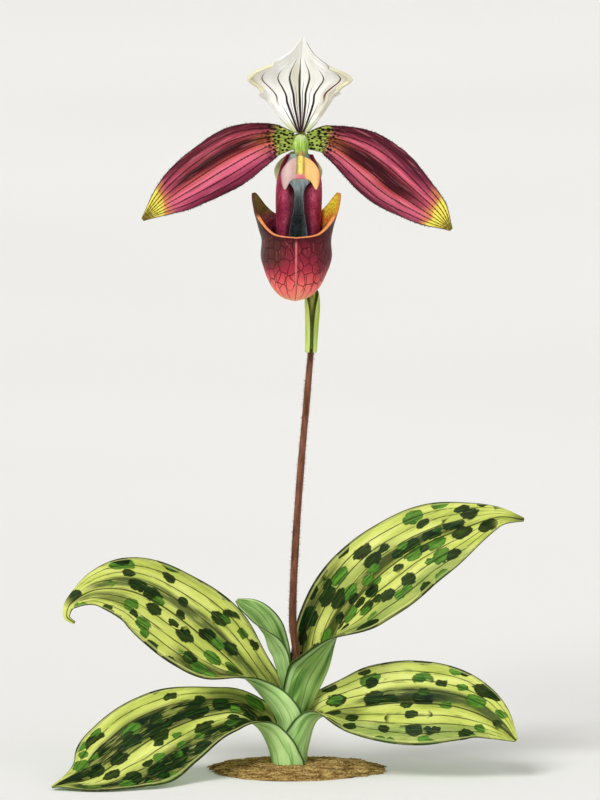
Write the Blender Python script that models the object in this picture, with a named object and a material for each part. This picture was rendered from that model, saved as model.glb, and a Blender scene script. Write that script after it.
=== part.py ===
"""A slipper orchid in flower: five mottled leaves in a two-ranked fan round a short stem, one hairy
flower stalk with its bract and ovary, and one flower, standing in a thin patch of soil.

Run it with: blender --background --python part.py
The front of the plant faces -Y, +X is to the right and +Z is up. The origin is on the underside of
the soil, below the middle of the fan. Sizes are in millimetres and become metres as meshes are made.
"""

import math
import random

import bmesh
import bpy
from mathutils import Vector
from mathutils.bvhtree import BVHTree

MM = 0.001

# Driving sizes of the plant.
LEAF_THICKNESS = 0.8
PETAL_THICKNESS = 0.7
LIP_THICKNESS = 0.9
GAP = 0.3  # clearance between pieces that touch on the real plant
NEST_ROOM = 0.15  # extra room between the rolled leaf bases, which are flat between their vertices

SOIL_CENTRE = (1.5, 3.5)
SOIL_RADII = (25.0, 18.5)
SOIL_TOP = 3.2
SOIL_RIM = 1.5
SOIL_HOLE_RADIUS = 6.8
SOIL_HOLE_FLOOR = 0.8

STEM_RADIUS = 3.3
STEM_TOP = Vector((1.0, 0.3, 20.0))
SCAPE_RADIUS_LOW = 1.2
SCAPE_RADIUS_HIGH = 0.95
SCAPE_TOP = Vector((6.0, 0.5, 128.0))

OVARY_RADIUS_LOW = 1.05
OVARY_RADIUS_HIGH = 2.1
OVARY_RIBS = 6
HUB = Vector((2.9, 1.6, 190.8))  # middle of the flower, where the ovary ends

LIP_CENTRE = (1.6, -14.5)
LIP_TIP_Z = 145.5
LIP_HALF_WIDTH = 10.2
LIP_HALF_DEPTH = 9.8


def clear_scene():
    for obj in list(bpy.data.objects):
        bpy.data.objects.remove(obj)


def material(name, colour, roughness):
    made = bpy.data.materials.new(name)
    made.use_nodes = True
    shader = made.node_tree.nodes["Principled BSDF"]
    shader.inputs["Base Color"].default_value = (*colour, 1.0)
    shader.inputs["Roughness"].default_value = roughness
    shader.inputs["Metallic"].default_value = 0.0
    made.diffuse_color = (*colour, 1.0)
    return made


def track(keys):
    """A smooth function through (position, value) keys; a value is a number or three of them."""
    places = [place for place, _ in keys]
    values = [Vector(value) if isinstance(value, tuple) else value for _, value in keys]
    last = len(keys) - 1
    slopes = []
    for i in range(len(keys)):
        before, after = max(i - 1, 0), min(i + 1, last)
        slopes.append((values[after] - values[before]) / (places[after] - places[before]))

    def value_at(place):
        i = 0
        while i < last - 1 and place > places[i + 1]:
            i += 1
        span = places[i + 1] - places[i]
        t = min(max((place - places[i]) / span, 0.0), 1.0)
        start, end = values[i], values[i + 1]
        ease = t * t * (3 - 2 * t)
        return (
            start * (1 - ease)
            + end * ease
            + slopes[i] * (span * t * (1 - t) * (1 - t))
            - slopes[i + 1] * (span * t * t * (1 - t))
        )

    return value_at


def path(points):
    """A smooth curve through the points, as a function of 0 to 1 by their distances."""
    points = [Vector(p) for p in points]
    lengths = [0.0]
    for a, b in zip(points, points[1:]):
        lengths.append(lengths[-1] + (b - a).length)
    return track([(length / lengths[-1], tuple(p)) for length, p in zip(lengths, points)])


def direction(curve, s):
    step = 0.01
    return (curve(min(s + step, 1.0)) - curve(max(s - step, 0.0))).normalized()


def smooth_step(low, high, value):
    t = min(max((value - low) / (high - low), 0.0), 1.0)
    return t * t * (3 - 2 * t)


def add_object(name, bm, look, smooth_angle=50):
    bmesh.ops.recalc_face_normals(bm, faces=bm.faces)
    mesh = bpy.data.meshes.new(name)
    bm.to_mesh(mesh)
    bm.free()
    mesh.shade_smooth()
    mesh.set_sharp_from_angle(angle=math.radians(smooth_angle))
    mesh.materials.append(look)
    obj = bpy.data.objects.new(name, mesh)
    bpy.context.scene.collection.objects.link(obj)
    return obj


def sheet_grid(columns, rows, place, crowd=1.0):
    """A grid whose vertices are moved to place(across, along), across from -1 to 1, along from 0 to 1.

    It is cut into triangles before it gets its thickness, so that both faces are split alike. A crowd
    over 1 sets the rows closer together near the start.
    """
    bm = bmesh.new()
    bmesh.ops.create_grid(bm, x_segments=columns, y_segments=rows, size=1.0)
    for vertex in bm.verts:
        vertex.co = place(vertex.co.x, ((vertex.co.y + 1) / 2) ** crowd) * MM
    bmesh.ops.triangulate(bm, faces=bm.faces, quad_method="FIXED")
    return bm


def thicken(obj, thickness):
    wall = obj.modifiers.new("wall", "SOLIDIFY")
    wall.thickness = thickness * MM
    wall.offset = 0.0
    return obj


def blade_surface(form):
    """A leaf or petal: a strip along a spine, as a function of (across, along).

    face is the way that the upper side looks. Each half leaves the midrib at fold degrees above flat
    and turns by a further curve degrees on its way to the margin. roll turns the outer part back.
    ripple is the height of the waves along the margins, and waves is how many there are.
    """
    spine = path(form["spine"])
    face = track(form["face"])
    half_width = track(form["half_width"])
    fold = track(form["fold"])
    curve = track(form["curve"])
    roll = track(form.get("roll", [(0, 0.0), (1, 0.0)]))
    roll_start = form.get("roll_start", 0.5)
    ripple = form.get("ripple", 0.0)
    waves = form.get("waves", 3)
    steps = 12

    def place(across, along):
        ahead = direction(spine, along)
        look = face(along)
        look = (look - ahead * look.dot(ahead)).normalized()
        side = ahead.cross(look) * (1 if across >= 0 else -1)
        reach = abs(across)
        point = spine(along)
        width = half_width(along)
        for i in range(steps):
            q = reach * (i + 0.5) / steps
            angle = fold(along) + curve(along) * q
            angle -= roll(along) * smooth_step(roll_start, 1.0, q)
            angle = math.radians(angle)
            point += (side * math.cos(angle) + look * math.sin(angle)) * (width * reach / steps)
        phase = 0.9 if across >= 0 else 0.0
        wave = math.sin((along * waves + phase) * math.tau)
        point += look * (ripple * wave * reach**2 * math.sin(math.pi * along))
        return point

    return place


def blade(name, form, columns, rows, thickness, look, inner=()):
    """Builds the blade clear of the pieces inside it, and returns it with what outer pieces must clear."""
    floor = form.get("floor")
    surface = blade_surface(form)

    def place(across, along):
        point = surface(across, along)
        if floor is not None:
            point.z = above_floor(point.z, floor)
        return point

    bm = sheet_grid(columns, rows, place, form.get("crowd", 1.0))
    if inner:
        push_clear(bm, [(tree, side, room + NEST_ROOM + thickness / 2) for tree, side, room in inner])
    tree = BVHTree.FromBMesh(bm)
    return thicken(add_object(name, bm, look), thickness), (tree, -1, GAP + thickness / 2)


def solid_to_clear(obj):
    """A finished solid as something that outer pieces must clear."""
    bm = bmesh.new()
    bm.from_mesh(obj.data)
    tree = BVHTree.FromBMesh(bm)
    bm.free()
    return tree, 1, GAP


def push_clear(bm, inner, rounds=9, eased_rounds=5, reach=6.0):
    """Moves a sheet outwards, off the pieces that it wraps, and eases the rest of it along.

    Each inner piece is a tree of its faces, which side of them is its outside, and the room that it
    needs in millimetres. The middles of the edges are kept clear too.
    """

    def shift_needed(point):
        most = Vector()
        for tree, side, room in inner:
            spot, normal, _, _ = tree.find_nearest(point, reach * MM)
            if spot is None:
                continue
            outward = normal * side
            depth = (point - spot).dot(outward)
            slip = (point - spot - outward * depth).length
            if slip < room * MM:
                short = math.sqrt((room * MM) ** 2 - slip**2) - depth
                if short > most.length:
                    most = outward * short
        return most

    for turn in range(rounds):
        needed = {vertex: shift_needed(vertex.co) for vertex in bm.verts}
        for edge in bm.edges:
            shift = shift_needed((edge.verts[0].co + edge.verts[1].co) / 2)
            for vertex in edge.verts:
                if shift.length > needed[vertex].length:
                    needed[vertex] = shift
        eased = dict(needed)
        for _ in range(3 if turn < eased_rounds else 0):
            eased = {
                vertex: sum((eased[e.other_vert(vertex)] for e in vertex.link_edges), eased[vertex] * 2)
                / (len(vertex.link_edges) + 2)
                for vertex in bm.verts
            }
        for vertex in bm.verts:
            vertex.co += max(needed[vertex], eased[vertex], key=lambda shift: shift.length)


def above_floor(z, floor):
    """Bends what would go below the floor level so that it lies along it."""
    soft = 1.5
    if z > floor + soft:
        return z
    return floor + soft * math.exp((z - floor - soft) / soft)


def tube(name, curve, radius, sides, rings, look):
    """A solid rod along a curve. radius is a function of (along, turn), turn in radians."""
    bm = bmesh.new()
    bmesh.ops.create_grid(bm, x_segments=sides, y_segments=rings, size=1.0)
    for vertex in bm.verts:
        turn = vertex.co.x * math.pi
        along = (vertex.co.y + 1) / 2
        ahead = direction(curve, along)
        across = ahead.cross(Vector((0, -1, 0.2))).normalized()
        other = ahead.cross(across)
        outward = across * math.cos(turn) + other * math.sin(turn)
        vertex.co = (curve(along) + outward * radius(along, turn)) * MM
    bmesh.ops.remove_doubles(bm, verts=bm.verts, dist=0.01 * MM)
    bmesh.ops.holes_fill(bm, edges=bm.edges, sides=0)
    return add_object(name, bm, look)


def turned(name, profile, segments, warp, look, smooth_angle=50):
    """A solid turned round Z from (radius, height) points that start and end on the axis, then warped."""
    bm = bmesh.new()
    line = [bm.verts.new((radius, 0, height)) for radius, height in profile]
    edges = [bm.edges.new(pair) for pair in zip(line, line[1:])]
    bmesh.ops.spin(
        bm,
        geom=line + edges,
        cent=(0, 0, 0),
        axis=(0, 0, 1),
        angle=math.tau,
        steps=segments,
        use_merge=True,
    )
    bmesh.ops.remove_doubles(bm, verts=bm.verts, dist=0.001)
    for vertex in bm.verts:
        vertex.co = warp(vertex.co.copy()) * MM
    return add_object(name, bm, look, smooth_angle)


# Leaves, from the outermost and lowest to the innermost. The base of each is rolled round the next.

LOWER_LEFT_LEAF = {
    "spine": [
        (-5.15, 0, 1.5),
        (-6.6, -0.3, 8),
        (-10.5, -2, 15),
        (-18, -6, 19.4),
        (-35, -13, 16),
        (-50, -20, 8),
        (-59, -26, 3),
        (-71, -31, 1.2),
    ],
    "face": [
        (0, (1, 0, 0.2)),
        (0.08, (1, 0, 0.35)),
        (0.18, (0.75, -0.15, 0.7)),
        (0.3, (0.25, -0.6, 0.75)),
        (0.5, (0.1, -0.8, 0.6)),
        (0.7, (-0.05, -0.65, 0.75)),
        (0.86, (0, -0.4, 0.9)),
        (1, (0, -0.15, 1)),
    ],
    "half_width": [
        (0, 12.5),
        (0.08, 10.5),
        (0.2, 8.6),
        (0.32, 9.2),
        (0.5, 13.5),
        (0.68, 15.8),
        (0.84, 11),
        (0.94, 5),
        (1, 0.6),
    ],
    "fold": [(0, 0), (0.18, 12), (0.3, 12), (0.8, 8), (1, 4)],
    "curve": [(0, 139), (0.08, 112), (0.18, 60), (0.3, 5), (0.5, -20), (1, -8)],
    "ripple": 0.5,
    "crowd": 1.25,
    "floor": 0.5,
}

LOWER_RIGHT_LEAF = {
    "spine": [
        (4.05, 0, 2.2),
        (5.2, 0, 9),
        (8, 0, 16.6),
        (16, -2.2, 19.8),
        (38, -8, 22.6),
        (56, -11, 19.9),
        (67.4, -14, 12.4),
    ],
    "face": [
        (0, (-1, 0, 0.15)),
        (0.09, (-1, 0, 0.2)),
        (0.2, (-0.7, -0.2, 0.65)),
        (0.33, (-0.25, -0.7, 0.65)),
        (0.55, (-0.15, -0.85, 0.5)),
        (0.8, (0.05, -0.8, 0.6)),
        (1, (0.25, -0.7, 0.65)),
    ],
    "half_width": [
        (0, 9.5),
        (0.09, 9.5),
        (0.2, 7.6),
        (0.4, 12.2),
        (0.6, 13.6),
        (0.78, 11.1),
        (0.9, 6.6),
        (0.96, 3.2),
        (1, 0.6),
    ],
    "fold": [(0, 0), (0.2, 25), (0.33, 14), (0.6, 10), (1, 8)],
    "curve": [(0, 134), (0.09, 118), (0.2, 50), (0.33, 5), (0.5, -16), (1, -12)],
    "ripple": 0.5,
    "crowd": 1.25,
}

UPPER_LEFT_LEAF = {
    "spine": [
        (-3.0, 0, 10),
        (-4.4, 0, 17),
        (-13.6, 1, 29),
        (-30.7, 1, 44.8),
        (-46, -1, 54.8),
        (-58, -2.5, 56),
        (-66, -4, 52.2),
        (-67.2, -4.6, 48.2),
        (-64.8, -5, 46.2),
    ],
    "face": [
        (0, (1, 0, 0.15)),
        (0.07, (1, 0, 0.35)),
        (0.21, (0.7, -0.4, 0.6)),
        (0.35, (0.35, -0.85, 0.45)),
        (0.6, (0.25, -0.85, 0.45)),
        (0.8, (-0.05, -0.8, 0.65)),
        (0.93, (-0.8, -0.6, 0.2)),
        (1, (-0.5, -0.65, -0.6)),
    ],
    "half_width": [
        (0, 6.8),
        (0.07, 8),
        (0.21, 9),
        (0.4, 13.7),
        (0.6, 13.4),
        (0.75, 10.2),
        (0.86, 4.8),
        (0.94, 2.2),
        (1, 0.6),
    ],
    "fold": [(0, 0), (0.07, 30), (0.21, 30), (0.35, 14), (0.6, 10), (1, 10)],
    "curve": [(0, 130), (0.07, 90), (0.21, 40), (0.35, 5), (0.5, -14), (1, -14)],
    "ripple": 0.5,
    "crowd": 1.25,
}

UPPER_RIGHT_LEAF = {
    "spine": [
        (2.6, 0.2, 14.5),
        (5.5, 0.4, 20),
        (10.4, 0.5, 30.5),
        (13.8, 0, 43),
        (21.8, -1, 55.4),
        (35, -2, 66.7),
        (47.4, -3, 73.1),
        (61.6, -5, 78.2),
        (69.6, -6, 77.8),
    ],
    "face": [
        (0, (-1, 0, 0.3)),
        (0.06, (-1, 0, 0.4)),
        (0.15, (-1, 0, 0.38)),
        (0.3, (-0.85, -0.45, 0.3)),
        (0.43, (-0.5, -0.8, 0.4)),
        (0.65, (-0.2, -0.85, 0.42)),
        (0.85, (-0.15, -0.8, 0.6)),
        (1, (0.1, -0.6, 0.8)),
    ],
    "half_width": [
        (0, 6.0),
        (0.06, 9.5),
        (0.15, 11.6),
        (0.3, 14),
        (0.5, 14.5),
        (0.65, 13),
        (0.76, 11),
        (0.87, 6.5),
        (0.95, 2.6),
        (1, 0.6),
    ],
    "fold": [(0, 0), (0.06, 35), (0.15, 48), (0.3, 22), (0.43, 10), (1, 9)],
    "curve": [(0, 132), (0.06, 90), (0.15, 62), (0.3, 30), (0.43, 0), (0.6, -14), (1, -14)],
    "ripple": 0.5,
    "crowd": 1.25,
}

INNER_LEAF = {
    "spine": [
        (-0.9, 0.3, 20.6),
        (-2.5, 0.6, 26),
        (-4.2, 1.0, 33.4),
        (-7, 1.5, 40.2),
        (-10.4, 1.8, 46.7),
        (-16.2, 1.5, 52.3),
    ],
    "face": [
        (0, (1, 0, 0.2)),
        (0.5, (0.9, -0.2, 0.45)),
        (0.75, (0.6, -0.7, 0.4)),
        (1, (0.4, -0.8, 0.5)),
    ],
    "half_width": [(0, 4.4), (0.3, 4.4), (0.6, 6.4), (0.8, 5), (0.92, 3), (1, 0.5)],
    "fold": [(0, 0), (0.2, 55), (0.6, 40), (1, 20)],
    "curve": [(0, 125), (0.2, 45), (0.6, 20), (1, 0)],
}

# The flower's blades. The petals hang to the sides and the spotted bases meet at the hub.

DORSAL_SEPAL = {
    "spine": [
        (2.9, 1.6, 193.3),
        (2.8, 3.6, 198.5),
        (2.6, 4.6, 206),
        (2.8, 3.2, 214),
        (3.6, 0.4, 222.2),
    ],
    "face": [(0, (0, -1, 0.25)), (1, (0.05, -1, -0.15))],
    "half_width": [
        (0, 2.2),
        (0.12, 7),
        (0.3, 14.4),
        (0.45, 18.2),
        (0.58, 17.6),
        (0.7, 12.4),
        (0.82, 5.2),
        (0.92, 2.4),
        (1, 0.4),
    ],
    "fold": [(0, 12), (0.5, 8), (1, 22)],
    "curve": [(0, 10), (0.5, -8), (1, 30)],
    "roll": [(0, 30), (0.15, 110), (0.4, 130), (0.6, 60), (0.75, 10), (1, 0)],
    "roll_start": 0.55,
}

LEFT_PETAL = {
    "spine": [
        (0.2, 0.6, 191),
        (-6, -0.2, 191),
        (-16, -1.2, 187.2),
        (-27.6, -2.2, 180.2),
        (-37, -3.4, 173.7),
        (-44.2, -4.6, 167.9),
    ],
    "face": [(0, (0.2, -1, 0)), (0.4, (0, -1, 0.25)), (0.7, (0.05, -1, 0.15)), (1, (0, -1, 0.25))],
    "half_width": [
        (0, 2.6),
        (0.15, 5.8),
        (0.35, 8.6),
        (0.55, 8.2),
        (0.75, 6.3),
        (0.88, 3.6),
        (0.95, 1.8),
        (1, 0.5),
    ],
    "fold": [(0, 12), (0.5, 4), (1, 14)],
    "curve": [(0, 10), (0.5, -24), (1, 6)],
    "ripple": 1.1,
    "waves": 1.6,
}

RIGHT_PETAL = {
    "spine": [
        (5.6, 0.6, 191),
        (11.2, -0.2, 191.2),
        (21, -1.2, 186.6),
        (32, -2.2, 178),
        (42.2, -3.4, 170.1),
        (47.8, -4.6, 164.9),
    ],
    "face": [(0, (-0.2, -1, 0)), (0.4, (0, -1, 0.15)), (0.7, (-0.05, -1, 0.05)), (1, (0, -1, 0.25))],
    "half_width": [
        (0, 2.6),
        (0.15, 5.2),
        (0.35, 8.4),
        (0.55, 9),
        (0.75, 6.7),
        (0.88, 4.5),
        (0.95, 2.2),
        (1, 0.5),
    ],
    "fold": [(0, 12), (0.5, 4), (1, 14)],
    "curve": [(0, 10), (0.5, -24), (1, 6)],
    "ripple": 1.1,
    "waves": 1.6,
}

LOWER_SEPAL = {
    "spine": [(2.4, 1.5, 187.6), (2.2, 2.1, 182), (2.1, 1.4, 172), (1.9, -0.6, 161)],
    "face": [(0, (0, -1, 0.1)), (1, (0, -1, -0.1))],
    "half_width": [(0, 2.4), (0.1, 5.8), (0.2, 7.3), (0.32, 6.8), (0.5, 5.4), (0.8, 3.6), (1, 0.6)],
    "fold": [(0, 6), (1, 14)],
    "curve": [(0, 10), (1, 10)],
}

BRACT = {
    "spine": [(6.05, 2.4, 127.2), (6.2, 2.9, 133), (6.4, 4.0, 140), (6.3, 5.4, 146.3)],
    "face": [(0, (0, -1, 0.1)), (1, (0, -1, 0.1))],
    "half_width": [(0, 4.8), (0.4, 5.0), (0.75, 3.8), (0.92, 1.8), (1, 0.5)],
    "fold": [(0, 0), (1, 0)],
    "curve": [(0, 150), (0.5, 145), (1, 60)],
}


def make_soil(look):
    draw = random.Random(7)
    waves = [(k, draw.uniform(0.2, 1.0) / k, draw.uniform(0, math.tau)) for k in range(2, 12)]

    def outline(turn):
        """Uneven edge of the patch, as a share of its radius."""
        return 1 + 0.085 * sum(size * math.sin(k * turn + shift) for k, size, shift in waves)

    def warp(point):
        turn = math.atan2(point.y, point.x)
        radius = math.hypot(point.x, point.y)
        if radius <= SOIL_HOLE_RADIUS + 0.5:
            return point
        spread = (radius - SOIL_HOLE_RADIUS - 0.5) / (1 - (SOIL_HOLE_RADIUS + 0.5))
        grown = SOIL_HOLE_RADIUS + 0.5
        edge_x = SOIL_CENTRE[0] + SOIL_RADII[0] * outline(turn) * math.cos(turn)
        edge_y = SOIL_CENTRE[1] + SOIL_RADII[1] * outline(turn) * math.sin(turn)
        inner_x, inner_y = grown * math.cos(turn), grown * math.sin(turn)
        share = abs(spread)
        bump = 0.0
        if point.z > SOIL_RIM * 0.6 and share > 0.02:
            bump = 0.35 * math.sin(5 * turn + 6 * share) * math.sin(math.pi * share)
        return Vector(
            (
                inner_x + (edge_x - inner_x) * share,
                inner_y + (edge_y - inner_y) * share,
                point.z + bump,
            )
        )

    ring = SOIL_HOLE_RADIUS + 0.5

    def at(share):
        """Radius in the profile that the warp spreads to this share of the way to the edge."""
        return ring + share * (ring - 1)

    profile = [
        (0, 0),
        (ring, 0),
        (at(0.55), 0),
        (at(0.93), 0),
        (at(1.0), SOIL_RIM * 0.45),
        (at(0.94), SOIL_RIM),
        (at(0.6), SOIL_RIM + 0.6 * (SOIL_TOP - SOIL_RIM)),
        (at(0.25), SOIL_TOP - 0.1),
        (ring, SOIL_TOP),
        (SOIL_HOLE_RADIUS, SOIL_TOP - 0.3),
        (SOIL_HOLE_RADIUS, SOIL_HOLE_FLOOR),
        (0, SOIL_HOLE_FLOOR),
    ]
    return turned("soil", profile, 32, warp, look)


def make_short_stem(look):
    """The stem that carries the leaves, stepping in where each higher leaf is set."""
    lean = path([(0, 0, SOIL_HOLE_FLOOR + GAP), (0.2, 0.05, 9), STEM_TOP])
    width = track([(0, STEM_RADIUS), (0.4, 3.2), (0.5, 2.2), (0.66, 1.75), (0.85, 1.35), (1, 1.2)])
    return tube("short_stem", lean, lambda along, turn: width(along), 12, 9, look)


def make_scape(look):
    curve = path(
        [
            STEM_TOP + Vector((0, 0, GAP)),
            (1.7, 0.4, 34),
            (0.5, 0.5, 46),
            (1.3, 0.5, 68),
            (3.0, 0.5, 93),
            (4.7, 0.5, 113),
            SCAPE_TOP,
        ]
    )

    def radius(along, turn):
        return SCAPE_RADIUS_LOW + (SCAPE_RADIUS_HIGH - SCAPE_RADIUS_LOW) * along

    return tube("scape", curve, radius, 8, 18, look)


def make_ovary(look):
    curve = path(
        [
            SCAPE_TOP + Vector((0, 0, GAP + 0.1)),
            (6.3, 1.9, 140),
            (6.0, 5.4, 157),
            (4.9, 8.0, 171),
            (3.4, 8.4, 182),
            (2.9, 5.6, 189.4),
            HUB,
        ]
    )
    girth = track([(0, OVARY_RADIUS_LOW), (0.35, 1.15), (0.6, 1.75), (0.85, 1.9), (1, OVARY_RADIUS_HIGH)])

    def radius(along, turn):
        ribbed = smooth_step(0.3, 0.5, along) * (1 - smooth_step(0.85, 1.0, along))
        wider = 0.45 * smooth_step(0.88, 1.0, along) * math.cos(turn) ** 2
        return girth(along) * (1 + 0.1 * ribbed * math.cos(OVARY_RIBS * turn) + wider)

    return tube("ovary", curve, radius, 18, 16, look)


def make_column(look):
    """The rounded green column that stands out over the lip."""
    start = HUB + Vector((0.05, -0.9, 0))
    bends = [(0, 0, 0), (0, -2.2, 0.1), (0, -4.3, -1.7), (0, -5.0, -4.2)]
    curve = path([start + Vector(bend) for bend in bends])
    girth = track([(0, 1.5), (0.2, 2.0), (0.5, 2.45), (0.8, 2.0), (0.95, 1.1), (1, 0.7)])
    return tube("column", curve, lambda along, turn: girth(along), 12, 9, look)


def make_staminode(look):
    """The crescent-shaped shield in front of the column, with two blunt horns that point down."""
    top = Vector((2.85, -8.6, 187.6))
    height, lean = 9.6, 4.6
    outline_half = track([(0, 0.5), (0.1, 2.8), (0.3, 4.8), (0.5, 5.8), (0.75, 5.7), (0.9, 5.4), (1, 4.9)])
    drop = track([(0, 0.64), (0.35, 0.66), (0.6, 0.74), (0.75, 0.86), (0.87, 0.97), (0.95, 1), (1, 0.98)])

    def place(across, along):
        x = outline_half(along) * across
        down = height * along * (1 + (drop(abs(across)) - 1) * along**2)
        dome = 1.3 * (1 - (x / 6.5) ** 2) + 0.5 * math.sin(math.pi * along)
        return top + Vector((x, -dome - lean * down / height, -down))

    shield = thicken(add_object("staminode", sheet_grid(14, 10, place), look), 0.8)
    neck = path([(2.95, -6.5, 188.2), (2.9, -8.2, 187), (2.85, -11, 185.2)])
    width = track([(0, 0.7), (0.5, 0.8), (1, 1.1)])
    return join_into(shield, tube("neck", neck, lambda along, turn: width(along), 10, 5, look))


def lip_ring(height):
    """Half width and half depth of the pouch at a height above its tip."""
    half_width = track(
        [
            (0, 0.6),
            (0.8, 3.3),
            (2.5, 5.6),
            (5, 7.4),
            (9, 9.2),
            (13, 10),
            (19, LIP_HALF_WIDTH),
            (25, 11.8),
            (32, 13.4),
        ]
    )
    half_depth = track(
        [(0, 0.6), (0.8, 3.3), (2.5, 5.6), (5, 7.2), (9, 8.6), (13, 9.5), (19, LIP_HALF_DEPTH), (32, 9.4)]
    )
    return half_width(height), half_depth(height)


def pouch_rim(turn):
    """Height of the rim above the tip; turn is 0 at the front and half a circle at the back."""
    height = track(
        [
            (0, 19.6),
            (0.65, 20.3),
            (0.94, 22),
            (1.25, 25),
            (1.55, 27.6),
            (1.72, 30.2),
            (1.87, 31.4),
            (2.05, 30.2),
            (2.3, 27),
            (2.6, 24.4),
            (math.pi, 23.6),
        ]
    )
    return height(abs(turn))


def make_pouch(look):
    """The slipper: a deep cup with a low front rim and a raised ear at each side."""

    def place(across, along):
        turn = across * math.pi
        height = pouch_rim(turn) * along**0.8
        half_width, half_depth = lip_ring(height)
        forward = 1.8 * math.exp(-height / 6)
        aside = 0.4 * math.exp(-height / 4)
        return Vector(
            (
                LIP_CENTRE[0] - aside + half_width * math.sin(turn),
                LIP_CENTRE[1] - forward - half_depth * math.cos(turn),
                LIP_TIP_Z + height,
            )
        )

    bm = sheet_grid(28, 10, place)
    bmesh.ops.remove_doubles(bm, verts=bm.verts, dist=0.05 * MM)
    bmesh.ops.holes_fill(bm, edges=[e for e in bm.edges if e.is_boundary and e.verts[0].co.z < 151 * MM], sides=0)
    return thicken(add_object("lip", bm, look), LIP_THICKNESS)


def make_claw(look):
    """The stalk of the lip: a channel whose two side lobes are folded in towards each other."""
    half_width = track([(0, 5.8), (0.3, 6.3), (0.65, 6.4), (0.85, 5.4), (1, 3.8)])
    half_depth = track([(0, 4.6), (0.5, 4.4), (1, 2.4)])
    back = track([(0, -4.6), (0.3, -4.0), (0.7, -2.0), (1, -0.3)])
    reach = track([(0, 2.6), (0.2, 2.75), (0.45, 2.93), (0.65, 2.85), (0.8, 2.1), (0.9, 1.7), (1, 1.4)])

    def place(across, along):
        turn = across * reach(along)
        return Vector(
            (
                2.1 + 0.5 * along + half_width(along) * math.sin(turn),
                back(along) - half_depth(along) * (1 - math.cos(turn)),
                161.5 + 25.6 * along,
            )
        )

    return thicken(add_object("lip_claw", sheet_grid(14, 8, place), look), LIP_THICKNESS)


def join_into(obj, other):
    """Joins the other solid into the first, as they grow as one piece."""
    cut = obj.modifiers.new("join", "BOOLEAN")
    cut.operation = "UNION"
    cut.object = other
    cut.solver = "EXACT"
    bpy.context.view_layer.update()
    joined = bpy.data.meshes.new_from_object(obj.evaluated_get(bpy.context.evaluated_depsgraph_get()))
    obj.modifiers.clear()
    obj.data = joined
    bpy.data.objects.remove(other)
    return obj


def main():
    clear_scene()
    leaf_green = material("mottled leaf", (0.30, 0.42, 0.10), 0.45)
    young_green = material("young leaf", (0.30, 0.48, 0.16), 0.45)
    stem_green = material("pale stem", (0.42, 0.52, 0.22), 0.5)
    scape_brown = material("maroon stalk", (0.22, 0.09, 0.06), 0.6)
    bract_green = material("bract", (0.36, 0.46, 0.08), 0.5)
    petal_rose = material("rose petal", (0.52, 0.12, 0.17), 0.5)
    sepal_white = material("white sepal", (0.9, 0.9, 0.84), 0.5)
    lip_maroon = material("maroon lip", (0.28, 0.04, 0.06), 0.4)
    column_green = material("column", (0.42, 0.58, 0.12), 0.45)
    shield_pink = material("shield", (0.75, 0.42, 0.3), 0.45)
    soil_brown = material("soil", (0.22, 0.14, 0.06), 0.95)

    make_soil(soil_brown)
    stem = solid_to_clear(make_short_stem(stem_green))
    scape = solid_to_clear(make_scape(scape_brown))
    within = [stem, scape]
    leaves = [
        ("leaf_inner", INNER_LEAF, 10, 13, 0.7, young_green),
        ("leaf_upper_right", UPPER_RIGHT_LEAF, 12, 22, LEAF_THICKNESS, leaf_green),
        ("leaf_upper_left", UPPER_LEFT_LEAF, 12, 24, LEAF_THICKNESS, leaf_green),
        ("leaf_lower_right", LOWER_RIGHT_LEAF, 12, 22, LEAF_THICKNESS, leaf_green),
        ("leaf_lower_left", LOWER_LEFT_LEAF, 12, 22, LEAF_THICKNESS, leaf_green),
    ]
    for name, form, columns, rows, thickness, look in leaves:
        _, outside = blade(name, form, columns, rows, thickness, look, within)
        within.append(outside)

    ovary = solid_to_clear(make_ovary(bract_green))
    blade("bract", BRACT, 10, 8, 0.6, bract_green, [ovary, scape])
    blade("sepal_dorsal", DORSAL_SEPAL, 14, 14, PETAL_THICKNESS, sepal_white)
    blade("sepal_lower", LOWER_SEPAL, 6, 10, PETAL_THICKNESS, column_green)
    blade("petal_left", LEFT_PETAL, 8, 16, PETAL_THICKNESS, petal_rose)
    blade("petal_right", RIGHT_PETAL, 8, 16, PETAL_THICKNESS, petal_rose)
    join_into(make_pouch(lip_maroon), make_claw(lip_maroon))
    make_column(column_green)
    make_staminode(shield_pink)


main()
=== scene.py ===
"""Looks of the slipper orchid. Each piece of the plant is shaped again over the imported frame, finer
than the solids and with its veins, folds and hairs, and gets its colours from a procedural material.

Lengths are in millimetres and become metres as meshes are made. Colours are written as they look on
screen, 0 to 255. The front of the plant faces -Y.
"""

import math
import random

import bmesh
import bpy
from mathutils import Matrix, Vector, noise
from mathutils.bvhtree import BVHTree


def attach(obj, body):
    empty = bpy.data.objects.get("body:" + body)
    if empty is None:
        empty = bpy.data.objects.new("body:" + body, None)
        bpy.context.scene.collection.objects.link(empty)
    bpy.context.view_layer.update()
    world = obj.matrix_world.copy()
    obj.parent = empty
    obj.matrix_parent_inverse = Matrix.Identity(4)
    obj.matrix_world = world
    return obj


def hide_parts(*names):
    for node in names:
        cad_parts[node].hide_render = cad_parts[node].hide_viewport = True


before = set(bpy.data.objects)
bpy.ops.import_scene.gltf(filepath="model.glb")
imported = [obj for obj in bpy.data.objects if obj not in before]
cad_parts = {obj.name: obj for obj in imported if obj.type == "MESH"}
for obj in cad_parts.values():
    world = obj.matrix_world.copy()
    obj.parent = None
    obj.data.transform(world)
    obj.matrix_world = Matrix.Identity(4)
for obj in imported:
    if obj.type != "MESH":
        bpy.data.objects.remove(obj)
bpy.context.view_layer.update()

MM = 0.001
GAP = 0.3
NEST_ROOM = 0.15
LEAF_THICKNESS = 0.8
PETAL_THICKNESS = 0.6
LIP_THICKNESS = 0.9
LEAF_VEINS = 4.6
PETAL_VEINS = 8

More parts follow.
